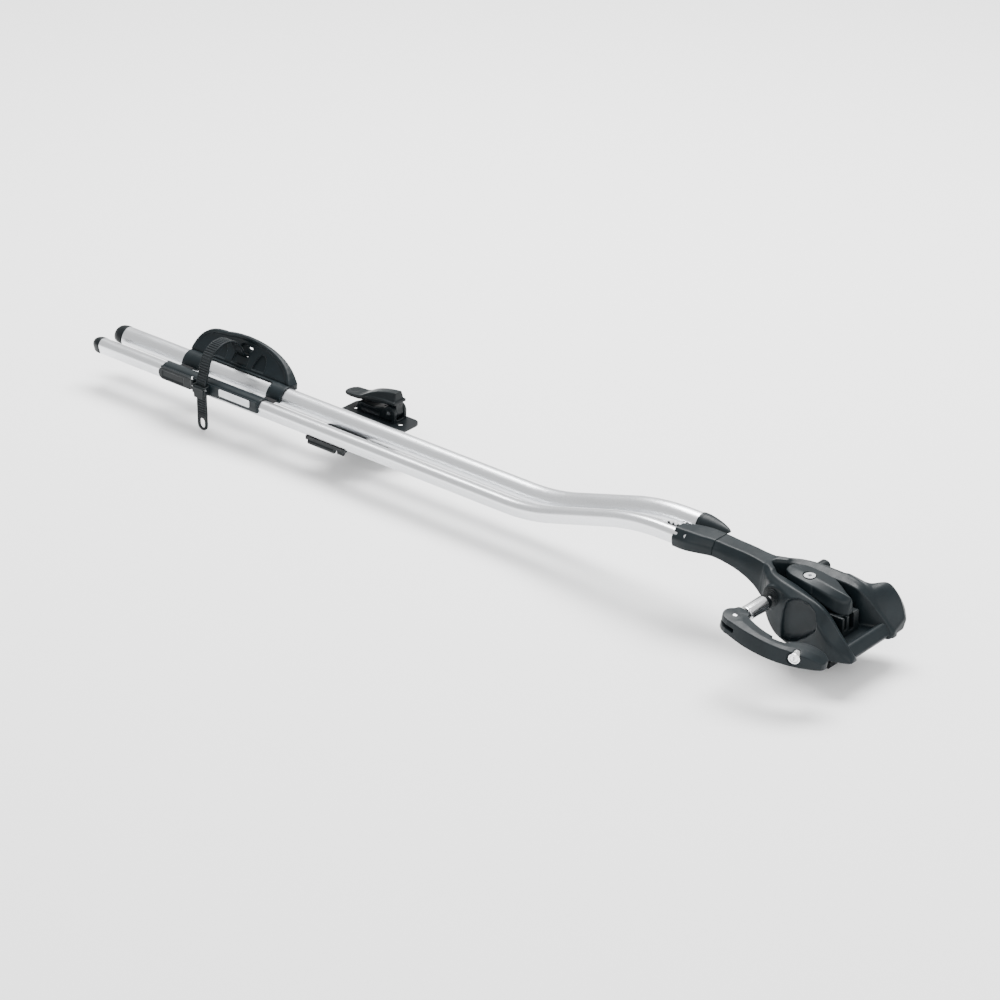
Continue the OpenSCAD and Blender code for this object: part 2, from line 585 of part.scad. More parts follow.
// Ratchet buckle on the near sleeve
buckle_x = [strap_x - strap_w / 2 - 3.4, strap_x + strap_w / 2 + 3.4];
module buckle_base() color(black) placed() {
    box(buckle_x, [-half_w - 5, -half_w - gap - skin_t - 0.05], [6.2, 22]);
    for (x = [[buckle_x[0], buckle_x[0] + 3], [buckle_x[1] - 3, buckle_x[1]]]) difference() {
        box(x, [-half_w - 14, -half_w - 5], [7, 21]);
        rod_x([x[0] - 1, x[1] + 1], pawl_y, pawl_z, 1.52);
    }
}
pawl_y = -half_w - 11.6;
pawl_z = 17;
module buckle_pin() color(steel) placed() rod_x([buckle_x[0] - 0.5, buckle_x[1] + 0.5], pawl_y, pawl_z, 1.5);
module buckle_pawl() color(black) placed() difference() {
    union() {
        rod_x([buckle_x[0] + 3.3, buckle_x[1] - 3.3], pawl_y, pawl_z, 2.8);
        along_x(buckle_x[0] + 3.3, buckle_x[1] - 3.3) polygon([
            [pawl_y - 2, pawl_z + 1], [pawl_y + 1.5, pawl_z - 1], [pawl_y + 0.8, pawl_z - 14],
            [pawl_y - 2.6, pawl_z - 16], [pawl_y - 3.4, pawl_z - 14]]);
    }
    rod_x([0, 400], pawl_y, pawl_z, 1.5 + run_fit);
}
// Cam lever that locks the tray on the rails
tray_lever_x = 200;
tray_lever_y = -half_w - gap - skin_t - 3.6;
module tray_lever() color(black) placed() difference() {
    union() {
        along_y(tray_lever_y - 2.6, tray_lever_y + 2.6)
            round_rect([sleeve_x[0] - 1, tray_lever_x - 3], [6, 25], 6);
        rod_z(tray_lever_x, tray_lever_y, [8, 24], 3.2);
        box([tray_lever_x - 10, tray_lever_x], [tray_lever_y - 2.6, tray_lever_y + 2.6], [8, 24]);
    }
    along_y(tray_lever_y - 4, tray_lever_y - 1.6) round_rect([sleeve_x[0] + 8, tray_lever_x - 16], [9, 22], 3);
    rod_z(tray_lever_x, tray_lever_y, [0, 40], 1.6 + run_fit);
}
module tray_lever_pin() color(steel) placed() rod_z(tray_lever_x, tray_lever_y, [4, 28], 1.6);
module tray_screws() color(steel) placed() for (x = [tray_x0 + 18, tray_x1 - 20])
    rod_y(x, [46.55, 48.4], 20.5, 3.2);

// ---------------------------------------------------------------- rear foot
foot_xr = [foot_x - 60, foot_x - 60 + foot_l];
plate_z = [-3.4, -gap];
hole_y = 81;                      // the plate's holes lie on this line
hole_x = [foot_xr[0] + 15, foot_xr[0] + 15 + foot_hole_gap];
tbolt_x = [foot_x - 30, foot_x + 30];
claw_x = foot_x - 24;             // middle of the claw's leg
claw_y = 90;
claw_half = 9;                    // half the claw's width
module foot_plate() color(black) placed() difference() {
    along_z(plate_z[0], plate_z[1]) {
        round_rect(foot_xr, [40, foot_reach], 14);
        translate([foot_xr[0] + 22, -37]) square([foot_l - 46, 78]);
    }
    for (x = hole_x) rod_z(x, hole_y, [-10, 10], foot_hole_d / 2);
    for (x = tbolt_x, y = [-rail_mid, rail_mid]) rod_z(x, y, [-10, 10], 3.2);
    box([claw_x - 7, claw_x + 7], [claw_y - claw_half - 1, claw_y + claw_half + 1], [-10, 10]);
}
module foot_tbolts() color(steel) placed() for (x = tbolt_x, y = [-rail_mid, rail_mid]) {
    box([x - 5.5, x + 5.5], [y - 5.5, y + 5.5], [rail_wall + gap, rail_wall + gap + 3]);
    rod_z(x, y, [-9.5, rail_wall + gap + 0.1], 3);
}
module foot_nuts() color(steel) placed() for (x = tbolt_x, y = [-rail_mid, rail_mid]) difference() {
    along_z(-8, plate_z[0]) translate([x, y]) circle(5.6, $fn = 6);
    rod_z(x, y, [-20, 0], 3.02);
}
// Tower on the far side: a low block with two round cheeks that hold the cam lever
tower_y = [76, 104];
cheek_t = 6;
cheek_r = 11;
foot_lever_x = foot_x + 24;       // the cam lever's pivot
foot_lever_z = 13;
module foot_block() color(black) placed() difference() {
    union() {
        along_y(tower_y[0], tower_y[1]) polygon([
            [foot_x - 40, -gap], [foot_lever_x + cheek_r, -gap], [foot_lever_x + cheek_r, foot_lever_z],
            [foot_lever_x - 8, 20], [foot_x - 6, 14.5], [foot_x - 36, 14.5], [foot_x - 40, 11]]);
        rod_y(foot_lever_x, tower_y, foot_lever_z, cheek_r);
    }
    // way for the lever's cam and for the claw's leg
    box([foot_lever_x - 14, foot_lever_x + 20], [tower_y[0] + cheek_t, tower_y[1] - cheek_t], [1.5, 40]);
    box([claw_x - 7, claw_x + 7], [claw_y - claw_half - 1, claw_y + claw_half + 1], [-10, 12.5]);
    rod_y(foot_lever_x, [40, 120], foot_lever_z, 3.02);
}
module foot_lever_pin() color(steel) placed()
    rod_y(foot_lever_x, [tower_y[0] - 1, tower_y[1] + 1], foot_lever_z, 3);
// Cam lever: a flat paddle that rises into a ridged back over the tower
cam_y = [tower_y[0] + cheek_t + 0.4, tower_y[1] - cheek_t - 0.4];
module foot_lever() color(black) placed() difference() {
    union() {
        translate([0, 0, -1.2]) rod_y(foot_lever_x, cam_y, foot_lever_z, 10);
        along_y(cam_y[0], cam_y[1]) polygon([
            [foot_lever_x - 9, foot_lever_z + 2], [foot_lever_x + 9, foot_lever_z + 2],
            [foot_x + 34.5, 28], [foot_x + 12, 28]]);
        along_y(tower_y[0] + 0.5, tower_y[1] - 0.5) polygon([
            [foot_x + 35, 27.5], [foot_x + 34, 31.5], [foot_x + 12, 31], [foot_x - 22, 27.5],
            [foot_x - 39, 22.5], [foot_x - 58, 21.3], [foot_x - 70, 19.5], [foot_x - 70.5, 17],
            [foot_x - 52, 16.3], [foot_x - 37, 17], [foot_x - 25, 20], [foot_x - 4, 21], [foot_x + 12, 25.8]]);
        along_y(tower_y[0] + 8, tower_y[1] - 5) polygon(concat(
            bezier([[foot_x + 30.5, 44], [foot_x + 6, 42], [foot_x - 22, 34], [foot_x - 34, 22]], 8),
            [[foot_x + 34, 28]]));
    }
    rod_y(foot_lever_x, [40, 120], foot_lever_z, 3 + run_fit);
}
// Near-side flange under the near rail, with two knuckles on it
module foot_barrel() color(black) placed() difference() {
    union() {
        along_z(-6, plate_z[0]) translate([foot_x - 38, -37]) square([76, 8]);
        rod_x([foot_x - 34, foot_x + 16], -33, -9.5, 4.5);
        rod_x([foot_x + 24, foot_x + 34], -33, -8.5, 3.6);
    }
    for (x = tbolt_x) rod_z(x, -rail_mid, [-20, 10], 6.4);
}
module rear_bar_pad() color(soft) placed() difference() {
    along_z(seat_z, plate_z[0]) round_rect([foot_x - 15, foot_x + 15], [-10, 46], 4);
    for (x = tbolt_x, y = [-rail_mid, rail_mid]) rod_z(x, y, [-20, 0], 6.4);
}
// Claw that hooks under the rear load bar
module foot_claw() color(black) placed() along_y(claw_y - claw_half, claw_y + claw_half) polygon([
    [claw_x - 6, 12], [claw_x + 6, 12], [claw_x + 6, grip_z - 1.6], [foot_x + 12, grip_z - 1.6],
    [foot_x + 17, grip_z + 1], [foot_x + 19, grip_z - 3], [foot_x + 14, grip_z - 8],
    [claw_x - 2, grip_z - 8], [claw_x - 6, grip_z - 4]]);
module foot_claw_pad() color(soft) placed()
    box([foot_x - 15, foot_x + 11], [claw_y - claw_half + 1, claw_y + claw_half - 1], [grip_z - 1.6, grip_z]);

near_rail();
far_rail();
near_end_cap();
far_end_cap();
neck_moulding();
far_rail_plug();
bridge_tab();
bridge_rivets();
neck_bolts();
head_body();
head_cover();
guide_block();
front_crossbar();
fork_collars();
axle_tube();
front_bar_pads();
head_screws();
skewer_rod();
skewer_nut();
thrust_bush();
grip_ring();
cam_pin();
qr_lever();
lock_barrel();
lock_plug();
front_jaw();
front_jaw_pad();
jaw_nut();
clamp_bolt();
tray_saddle();
tray_cradle();
cradle_pads();
label_plate();
wheel_strap();
strap_anchor_pin();
buckle_base();
buckle_pin();
tray_screws();
tray_lever();
tray_lever_pin();
buckle_pawl();
foot_plate();
foot_block();
foot_barrel();
foot_tbolts();
foot_nuts();
rear_bar_pad();
foot_lever_pin();
foot_lever();
foot_claw();
foot_claw_pad();
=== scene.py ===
import json
import math

import bpy
import numpy as np
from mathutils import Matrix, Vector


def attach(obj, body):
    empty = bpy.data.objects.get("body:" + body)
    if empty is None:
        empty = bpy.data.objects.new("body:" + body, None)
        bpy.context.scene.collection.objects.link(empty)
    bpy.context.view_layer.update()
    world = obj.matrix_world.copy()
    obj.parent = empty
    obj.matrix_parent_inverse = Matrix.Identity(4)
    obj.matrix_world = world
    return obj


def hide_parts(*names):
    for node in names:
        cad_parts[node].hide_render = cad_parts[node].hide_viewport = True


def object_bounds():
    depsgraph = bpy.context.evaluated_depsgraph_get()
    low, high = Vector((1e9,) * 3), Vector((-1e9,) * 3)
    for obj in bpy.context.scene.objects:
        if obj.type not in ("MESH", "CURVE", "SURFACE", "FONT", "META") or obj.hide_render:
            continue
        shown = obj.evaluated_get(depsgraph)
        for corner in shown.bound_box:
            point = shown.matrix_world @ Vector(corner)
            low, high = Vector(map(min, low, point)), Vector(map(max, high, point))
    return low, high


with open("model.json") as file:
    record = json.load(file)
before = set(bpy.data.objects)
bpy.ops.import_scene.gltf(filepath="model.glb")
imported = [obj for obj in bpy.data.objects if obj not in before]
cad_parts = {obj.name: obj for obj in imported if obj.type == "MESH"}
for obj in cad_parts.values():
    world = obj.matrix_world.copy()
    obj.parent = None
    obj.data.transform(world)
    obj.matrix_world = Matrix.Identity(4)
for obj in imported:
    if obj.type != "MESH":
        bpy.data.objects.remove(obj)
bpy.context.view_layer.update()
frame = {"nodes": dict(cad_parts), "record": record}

# Pieces are worked out in millimetres in a station frame: X runs along the rails
# from their rear ends, Z is the height above the rails' underside, -Y is the side
# of the quick-release lever. STATION moves it into the part's frame.
STATION = np.array([-1341.0, 0.0, 20.0])
HALF_W = 38.0
RAIL_W, RAIL_H, RAIL_WALL, SLOT_W = 28.0, 22.0, 1.8, 6.6
RAIL_X0, RAIL_STRAIGHT, BEND_R, RAIL_RISE = -8.0, 800.0, 320.0, 55.0
FAR_END, NEAR_END = 1104.0, 1124.0
GAP, SKIN = 0.35, 2.6
SKEWER_X, SKEWER_Z = 1279.0, 39.0
LEVER_Y, LEVER_TILT = -130.0, math.radians(12.5)
FOOT_X = 461.0
STRAP_X, STRAP_W, STRAP_T = 219.0, 20.0, 3.0


# ------------------------------------------------------------ camera and light
def aim(obj, target):
    direction = [t - p for t, p in zip(target, obj.location)]
    flat = math.hypot(direction[0], direction[1])
    obj.rotation_euler = (math.atan2(flat, -direction[2]), 0, math.atan2(-direction[0], direction[1]))


def make_camera():
    azimuth, elevation, distance = math.radians(40.55), math.radians(27.37), 5.335
    target = (-0.5753, 0.0, 0.014)
    data = bpy.data.cameras.new("camera")
    data.lens = 135.6
    data.sensor_width = 36.0
    camera = bpy.data.objects.new("camera", data)
    camera.location = (target[0] + distance * math.sin(azimuth) * math.cos(elevation),
                       target[1] - distance * math.cos(azimuth) * math.cos(elevation),
                       target[2] + distance * math.sin(elevation))
    aim(camera, target)
    bpy.context.scene.collection.objects.link(camera)
    bpy.context.scene.camera = camera


def make_light(name, place, target, size, power):
    data = bpy.data.lights.new(name, "AREA")
    data.shape = "RECTANGLE"
    data.size, data.size_y = size
    data.energy = power
    lamp = bpy.data.objects.new(name, data)
    lamp.location = place
    aim(lamp, target)
    bpy.context.scene.collection.objects.link(lamp)


make_camera()
MIDDLE = (-0.6, 0.0, 0.0)
make_light("key", (-1.2, 1.2, 3.0), MIDDLE, (3.0, 1.6), 330)
make_light("fill", (1.2, -2.8, 1.9), MIDDLE, (2.6, 1.8), 60)
make_light("front", (2.2, 0.4, 1.2), (0.0, 0.0, 0.03), (1.4, 1.2), 22)
world = bpy.data.worlds.new("studio")
world.use_nodes = True
world.node_tree.nodes["Background"].inputs["Color"].default_value = (1.0, 1.0, 1.0, 1.0)
world.node_tree.nodes["Background"].inputs["Strength"].default_value = 1.0
bpy.context.scene.world = world


# ------------------------------------------------------------ materials
def material(name, **values):
    mat = bpy.data.materials.new(name)
    mat.use_nodes = True
    shader = mat.node_tree.nodes["Principled BSDF"]
    for key, value in values.items():
        shader.inputs[key.replace("_", " ")].default_value = value
    return mat, mat.node_tree, shader


def noise(tree, scale, detail=3.0, stretch=(1.0, 1.0, 1.0)):
    place = tree.nodes.new("ShaderNodeTexCoord")
    mapping = tree.nodes.new("ShaderNodeMapping")
    mapping.inputs["Scale"].default_value = stretch
    texture = tree.nodes.new("ShaderNodeTexNoise")
    texture.inputs["Scale"].default_value = scale
    texture.inputs["Detail"].default_value = detail
    tree.links.new(place.outputs["Object"], mapping.inputs["Vector"])
    tree.links.new(mapping.outputs["Vector"], texture.inputs["Vector"])
    return texture.outputs["Fac"]


def spread(tree, source, low, high):
    """Turns a noise value into a range of values."""
    node = tree.nodes.new("ShaderNodeMapRange")
    node.inputs["From Min"].default_value = 0.3
    node.inputs["From Max"].default_value = 0.7
    node.inputs["To Min"].default_value = low
    node.inputs["To Max"].default_value = high
    tree.links.new(source, node.inputs["Value"])
    return node.outputs["Result"]


def tint(tree, shader, source, dark, light):
    ramp = tree.nodes.new("ShaderNodeValToRGB")
    ramp.color_ramp.elements[0].position = 0.35
    ramp.color_ramp.elements[0].color = (*dark, 1.0)
    ramp.color_ramp.elements[1].position = 0.65
    ramp.color_ramp.elements[1].color = (*light, 1.0)
    tree.links.new(source, ramp.inputs["Fac"])
    tree.links.new(ramp.outputs["Color"], shader.inputs["Base Color"])


def relief(tree, shader, source, strength, depth):
    bump = tree.nodes.new("ShaderNodeBump")
    bump.inputs["Strength"].default_value = strength
    bump.inputs["Distance"].default_value = depth
    tree.links.new(source, bump.inputs["Height"])
    tree.links.new(bump.outputs["Normal"], shader.inputs["Normal"])


def plastic(name, colour, rough, grain=0.25):
    """Moulded plastic: a fine etched grain, with slow changes of tone and gloss."""
    mat, tree, shader = material(name)
    shader.inputs["Specular IOR Level"].default_value = 0.17
    dark = [c * 0.88 for c in colour]
    light = [c * 1.14 for c in colour]
    tint(tree, shader, noise(tree, 35.0, 4.0), dark, light)
    tree.links.new(spread(tree, noise(tree, 90.0), rough - 0.05, rough + 0.06), shader.inputs["Roughness"])
    relief(tree, shader, noise(tree, 2600.0, 2.0), grain, 0.00012)
    return mat


def metal(name, colour, rough, stretch=(1.0, 1.0, 1.0), scale=1500.0, grain=0.12):
    """Metal with a brushed or blasted grain."""
    mat, tree, shader = material(name, Metallic=1.0)
    dark = [c * 0.94 for c in colour]
    light = [min(1.0, c * 1.05) for c in colour]
    tint(tree, shader, noise(tree, 25.0, 3.0, stretch), dark, light)
    lines = noise(tree, scale, 2.0, stretch)
    tree.links.new(spread(tree, lines, rough - 0.05, rough + 0.07), shader.inputs["Roughness"])
    relief(tree, shader, lines, grain, 0.00005)
    return mat


MATERIALS = {
    "slate_plastic": plastic("slate_plastic", (0.0052, 0.0088, 0.0108), 0.38),
    "dark_plastic": plastic("dark_plastic", (0.0036, 0.0058, 0.0070), 0.40),
    "satin_aluminium": metal("satin_aluminium", (0.74, 0.755, 0.775), 0.30, (0.02, 1.0, 1.0)),
    "zinc_steel": metal("zinc_steel", (0.66, 0.67, 0.68), 0.30),
    "bright_steel": metal("bright_steel", (0.80, 0.81, 0.82), 0.24, (1.0, 0.03, 1.0)),
    "black_steel": plastic("black_steel", (0.0040, 0.0058, 0.0070), 0.36, 0.15),
    "lock_chrome": metal("lock_chrome", (0.85, 0.86, 0.87), 0.12, grain=0.04),
    "pad_rubber": plastic("pad_rubber", (0.007, 0.007, 0.008), 0.72, 0.5),
    "strap_rubber": plastic("strap_rubber", (0.0050, 0.0075, 0.0090), 0.44, 0.3),
    "label_silver": plastic("label_silver", (0.62, 0.64, 0.66), 0.38, 0.15),
}
SLOT_OF = {row["node"]: row["material_slot"] for row in frame["record"]["subparts"]}
for node_name, node_object in frame["nodes"].items():
    node_object.data.materials.clear()
    node_object.data.materials.append(MATERIALS[SLOT_OF[node_name]])


# ------------------------------------------------------------ meshes
def add_piece(name, points, faces, body, slot, replaced=(), sharp=None):
    """Makes a mesh from points in station millimetres and rides it on a body."""
    points = np.asarray(points, dtype=np.float64) + STATION
    mesh = bpy.data.meshes.new(name)
    mesh.from_pydata((points / 1000.0).tolist(), [], [list(map(int, f)) for f in faces])
    mesh.validate()
    mesh.polygons.foreach_set("use_smooth", [True] * len(mesh.polygons))
    if sharp is not None:
        mesh.set_sharp_from_angle(angle=math.radians(sharp))
    mesh.update()
    mesh.materials.append(MATERIALS[slot])
    piece = bpy.data.objects.new(name, mesh)
    bpy.context.scene.collection.objects.link(piece)
    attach(piece, body)
    if replaced:
        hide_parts(*replaced)


def sweep(rings):
    """Joins equal rings of points into a closed skin with flat ends."""
    n = len(rings[0])
    points = [p for ring in rings for p in ring]
    faces = []
    for r in range(len(rings) - 1):
        for i in range(n):
            j = (i + 1) % n
            faces.append((r * n + i, r * n + j, (r + 1) * n + j, (r + 1) * n + i))
    faces.append(tuple(range(n))[::-1])
    faces.append(tuple((len(rings) - 1) * n + i for i in range(n)))
    return points, faces


class Grid:
    """Sample points of a field, in millimetres."""

    def __init__(self, x, y, z, step):
        self.step = step
        self.low = np.array([x[0], y[0], z[0]], dtype=np.float64)
        counts = [int(math.ceil((b - a) / step)) + 1 for a, b in (x, y, z)]
        axes = [np.float32(low) + np.float32(step) * np.arange(n, dtype=np.float32)
                for low, n in zip(self.low, counts)]
        self.x = axes[0].reshape(-1, 1, 1)
        self.y = axes[1].reshape(1, -1, 1)
        self.z = axes[2].reshape(1, 1, -1)
        self.shape = tuple(counts)


def surface(grid, field, relax=2):
    """The surface where a field is zero, as quads: one point in each cell that it crosses."""
    field = np.array(np.broadcast_to(field, grid.shape), dtype=np.float32)
    for axis in range(3):
        edge = [slice(None)] * 3
        for end in (0, -1):
            edge[axis] = end
            field[tuple(edge)] = np.maximum(field[tuple(edge)], grid.step)
    inside = field < 0
    nx, ny, nz = grid.shape
    corners = [(a, b, c) for a in (0, 1) for b in (0, 1) for c in (0, 1)]
    count = np.zeros((nx - 1, ny - 1, nz - 1), dtype=np.int8)
    for a, b, c in corners:
        count += inside[a:nx - 1 + a, b:ny - 1 + b, c:nz - 1 + c]
    active = (count > 0) & (count < 8)
    cells = np.argwhere(active)
    index = np.full(active.shape, -1, dtype=np.int64)
    index[active] = np.arange(len(cells))
    total = np.zeros((len(cells), 3))
    hits = np.zeros(len(cells))
    for axis in range(3):
        for start in corners:
            if start[axis]:
                continue
            stop = list(start)
            stop[axis] = 1
            v0 = field[tuple((cells + start).T)]
            v1 = field[tuple((cells + stop).T)]
            cross = (v0 < 0) != (v1 < 0)
            t = v0[cross] / (v0[cross] - v1[cross])
            at = np.tile(np.array(start, dtype=np.float64), (cross.sum(), 1))
            at[:, axis] += t
            total[cross] += at
            hits[cross] += 1
    points = grid.low + grid.step * (cells + total / hits[:, None])
    faces = []
    for axis in range(3):
        u, v = (axis + 1) % 3, (axis + 2) % 3
        here = [slice(None)] * 3
        ahead = [slice(None)] * 3
        here[axis] = slice(0, -1)
        ahead[axis] = slice(1, None)
        change = inside[tuple(here)] != inside[tuple(ahead)]
        edges = np.argwhere(change)
        edges = edges[(edges[:, u] > 0) & (edges[:, v] > 0)
                      & (edges[:, u] < grid.shape[u] - 1) & (edges[:, v] < grid.shape[v] - 1)]
        ring = []
        for du, dv in ((-1, -1), (0, -1), (0, 0), (-1, 0)):
            cell = edges.copy()
            cell[:, u] += du
            cell[:, v] += dv
            ring.append(index[tuple(cell.T)])
        quads = np.stack(ring, axis=1)
        out = inside[tuple(edges.T)]
        quads[~out] = quads[~out][:, ::-1]
        faces.append(quads)
    faces = np.concatenate(faces)
    sides = np.concatenate([faces[:, [0, 1]], faces[:, [1, 2]], faces[:, [2, 3]], faces[:, [3, 0]]])
    for _ in range(relax):
        mean = np.zeros_like(points)
        weight = np.bincount(sides.ravel(), minlength=len(points)).astype(float)
        for k in range(3):
            mean[:, k] = (np.bincount(sides[:, 0], points[sides[:, 1], k], len(points))
                          + np.bincount(sides[:, 1], points[sides[:, 0], k], len(points)))
        points = 0.5 * points + 0.5 * mean / weight[:, None]
    return points, faces


# ------------------------------------------------------------ fields
def smin(a, b, k):
    """The smaller of two fields, with a fillet of about k."""
    h = np.clip(0.5 + 0.5 * (b - a) / k, 0.0, 1.0)
    return b + (a - b) * h - k * h * (1.0 - h)


def smax(a, b, k):
    return -smin(-a, -b, k)


def slab(a, low, high):
    return np.maximum(low - a, a - high)


def block(g, x, y, z, r=1.0):
    """A box with edges of radius r."""
    parts = []
    for a, (low, high) in ((g.x, x), (g.y, y), (g.z, z)):
        parts.append(np.abs(a - (low + high) / 2) - (high - low) / 2 + r)
    outside = np.sqrt(sum(np.maximum(p, 0.0) ** 2 for p in parts))
    return outside + np.minimum(np.maximum(np.maximum(parts[0], parts[1]), parts[2]), 0.0) - r


def rod(a, b, at, r, along, low, high, k=0.6):
    """A cylinder of radius r through the point at of the plane (a, b)."""
    return smax(np.sqrt((a - at[0]) ** 2 + (b - at[1]) ** 2) - r, slab(along, low, high), k)


def curve(x, knots):
    """A smooth curve through (x, value) knots."""
    xs, vs = np.array(knots, dtype=np.float64).T
    slopes = np.gradient(vs, xs)
    i = np.clip(np.searchsorted(xs, x) - 1, 0, len(xs) - 2)
    w = xs[i + 1] - xs[i]
    t = np.clip((x - xs[i]) / w, 0.0, 1.0)
    value = ((2 * t ** 3 - 3 * t ** 2 + 1) * vs[i] + (t ** 3 - 2 * t ** 2 + t) * w * slopes[i]
             + (3 * t ** 2 - 2 * t ** 3) * vs[i + 1] + (t ** 3 - t ** 2) * w * slopes[i + 1])
    return value.astype(np.float32)


def prism(x, y, z, sections, k, end_k=1.5):
    """A convex shape lofted along x through [station, [(y, z), ...]] sections."""
    first = np.array(sections[0][1], dtype=float)
    area = np.sum(first[:, 0] * np.roll(first[:, 1], -1) - np.roll(first[:, 0], -1) * first[:, 1])
    turn = 1.0 if area > 0 else -1.0
    count = len(first)
    ring = [[curve(x, [(s[0], s[1][i][axis]) for s in sections]) for axis in (0, 1)] for i in range(count)]
    field = None
    for i in range(count):
        (ay, az), (by, bz) = ring[i], ring[(i + 1) % count]
        ey, ez = by - ay, bz - az
        side = turn * ((y - ay) * ez - (z - az) * ey) / (np.sqrt(ey ** 2 + ez ** 2) + 1e-6)
        field = side if field is None else smax(field, side, k)
    return smax(field, slab(x, sections[0][0], sections[-1][0]), end_k)


def outline(u, v, points):
    """Signed distance to a closed outline."""
    points = np.array(points, dtype=np.float32)
    best = np.full(np.broadcast(u, v).shape, 1e9, dtype=np.float32)
    inside = np.zeros(best.shape, dtype=bool)
    for (a0, a1), (b0, b1) in zip(points, np.roll(points, -1, axis=0)):
        e0, e1 = b0 - a0, b1 - a1
        t = np.clip(((u - a0) * e0 + (v - a1) * e1) / (e0 * e0 + e1 * e1 + 1e-9), 0.0, 1.0)
        best = np.minimum(best, (u - a0 - e0 * t) ** 2 + (v - a1 - e1 * t) ** 2)
        if a1 != b1:
            inside ^= ((a1 > v) != (b1 > v)) & (u < e0 * (v - a1) / e1 + a0)
    return np.where(inside, -np.sqrt(best), np.sqrt(best))


def bezier(p, n):
    ts = [i / n for i in range(n + 1)]
    return [tuple((1 - t) ** 3 * p[0][k] + 3 * (1 - t) ** 2 * t * p[1][k] + 3 * (1 - t) * t * t * p[2][k]
                  + t ** 3 * p[3][k] for k in (0, 1)) for t in ts]


def arc(cx, cy, rx, ry, a0, a1, n):
    angles = [math.radians(a0 + (a1 - a0) * i / n) for i in range(n + 1)]
    return [(cx + rx * math.cos(a), cy + ry * math.sin(a)) for a in angles]


# ------------------------------------------------------------ rails
RIDGE_H, SHOULDER_W = 12.5, 10.0


def rail_outline(g=0.0, n=12):
    """The rail's section: outer side at 0, inner edge at RAIL_W, grown by g."""
    return ([(3 - g, -g)]
            + arc(SHOULDER_W, RIDGE_H, SHOULDER_W + g, RAIL_H - RIDGE_H + g, 180, 90, n)
            + arc(SHOULDER_W, 3, RAIL_W - SHOULDER_W + g, RAIL_H - 3 + g, 85, 0, 2 * n)
            + [(RAIL_W - 1 + g, -g)])


def rail_path(end):
    """Stations, heights and slopes along a rail; the climb follows a 7-24-25 triangle."""
    rise = math.atan2(7, 24)
    run, lift = BEND_R * 7 / 25, BEND_R / 25
    climb = (RAIL_RISE - 2 * lift) * 25 / 7
    top_x = RAIL_STRAIGHT + 2 * run + climb * 24 / 25
    path = [(RAIL_X0 + (RAIL_STRAIGHT - RAIL_X0) * i / 8, 0.0, 0.0) for i in range(8)]
    bend = [rise * i / 10 for i in range(11)]
    path += [(RAIL_STRAIGHT + BEND_R * math.sin(a), BEND_R - BEND_R * math.cos(a), a) for a in bend]
    path += [(top_x - BEND_R * math.sin(a), RAIL_RISE - BEND_R + BEND_R * math.cos(a), a)
             for a in reversed(bend)]
    return path + [(end, RAIL_RISE, 0.0)]


def make_rail(name, side, end):
    half = SLOT_W / 2
    middle = RAIL_W / 2
    hollow = rail_outline(-RAIL_WALL)
    section = ([(middle - half, 0.0)] + rail_outline() + [(middle + half, 0.0), (middle + half, RAIL_WALL)]
               + hollow[::-1] + [(middle - half, RAIL_WALL)])
    rings = []
    for x, z, slope in rail_path(end):
        rings.append([(x - h * math.sin(slope), side * (HALF_W - y), z + h * math.cos(slope))
                      for y, h in section])
    points, faces = sweep(rings)
    if side > 0:
        faces = [f[::-1] for f in faces]
    add_piece(name, points, faces, "frame", "satin_aluminium", (name[:-5],), sharp=12)


make_rail("far_rail_skin", 1, FAR_END)
make_rail("near_rail_skin", -1, NEAR_END)


def make_end_cap(name, side, nose, replaced):
    """A rounded nose behind the rail, with a collar that fits the rail's outline."""
    collar = rail_outline(GAP)
    mid_y, mid_h = 14.0, 9.0
    rings = []
    stations = [(RAIL_X0 + 0.1, 0.90), (RAIL_X0, 0.97), (RAIL_X0 - 0.6, 1.0), (RAIL_X0 - 3.0, 1.0)]
    stations += [(RAIL_X0 - 3.0 - (nose - 3.0) * math.sin(math.radians(a)),
                  math.cos(math.radians(a)) ** 0.62) for a in (12, 24, 36, 48, 60, 70, 78, 84, 88)]
    for x, size in stations:
        low = mid_h - 2.5 * (1 - size)
        rings.append([(x, side * (HALF_W - (mid_y + (y - mid_y) * size)), low + (h - mid_h) * size)
                      for y, h in collar])
    points, faces = sweep(rings)
    if side < 0:
        faces = [f[::-1] for f in faces]
    add_piece(name, points, faces, "frame", "dark_plastic", replaced, sharp=40)


make_end_cap("far_cap_nose", 1, 23.0, ("far_end_cap",))
make_end_cap("near_cap_nose", -1, 19.0, ("near_end_cap",))


# ------------------------------------------------------------ neck and fork head
NECK_SEAM = 1160.0
NECK = [  # station, then (y, z) of near foot, near side, near top, far top, far side, far foot
    (1104, [(-39.5, 53.5), (-41, 68), (-31, 80), (-14, 79), (-8, 62), (-10, 53)]),
    (1124, [(-38, 52.5), (-40, 68), (-30, 79.4), (-2, 78), (6, 63), (4, 51)]),
    (1142, [(-31.5, 51.5), (-33, 66), (-24.5, 76), (7, 75.2), (14.5, 63), (12, 50)]),
    (1160, [(-24, 50), (-23.5, 63), (-16, 72), (11, 71.8), (17, 61.5), (16, 49)]),
    (1182, [(-21.5, 46.5), (-20, 60), (-13.6, 69.6), (12, 69.6), (17.5, 60), (17, 46)]),
    (1206, [(-21, 40.5), (-18.4, 58), (-12.8, 68.4), (12.4, 68.4), (16.5, 59), (19, 40.5)]),
    (1230, [(-23.5, 31.5), (-19, 54), (-13.5, 66.2), (13, 66), (18, 54), (22, 32)]),
    (1258, [(-31, 15), (-25, 50), (-18, 63.4), (18, 63.4), (24, 50), (29, 16)]),
]


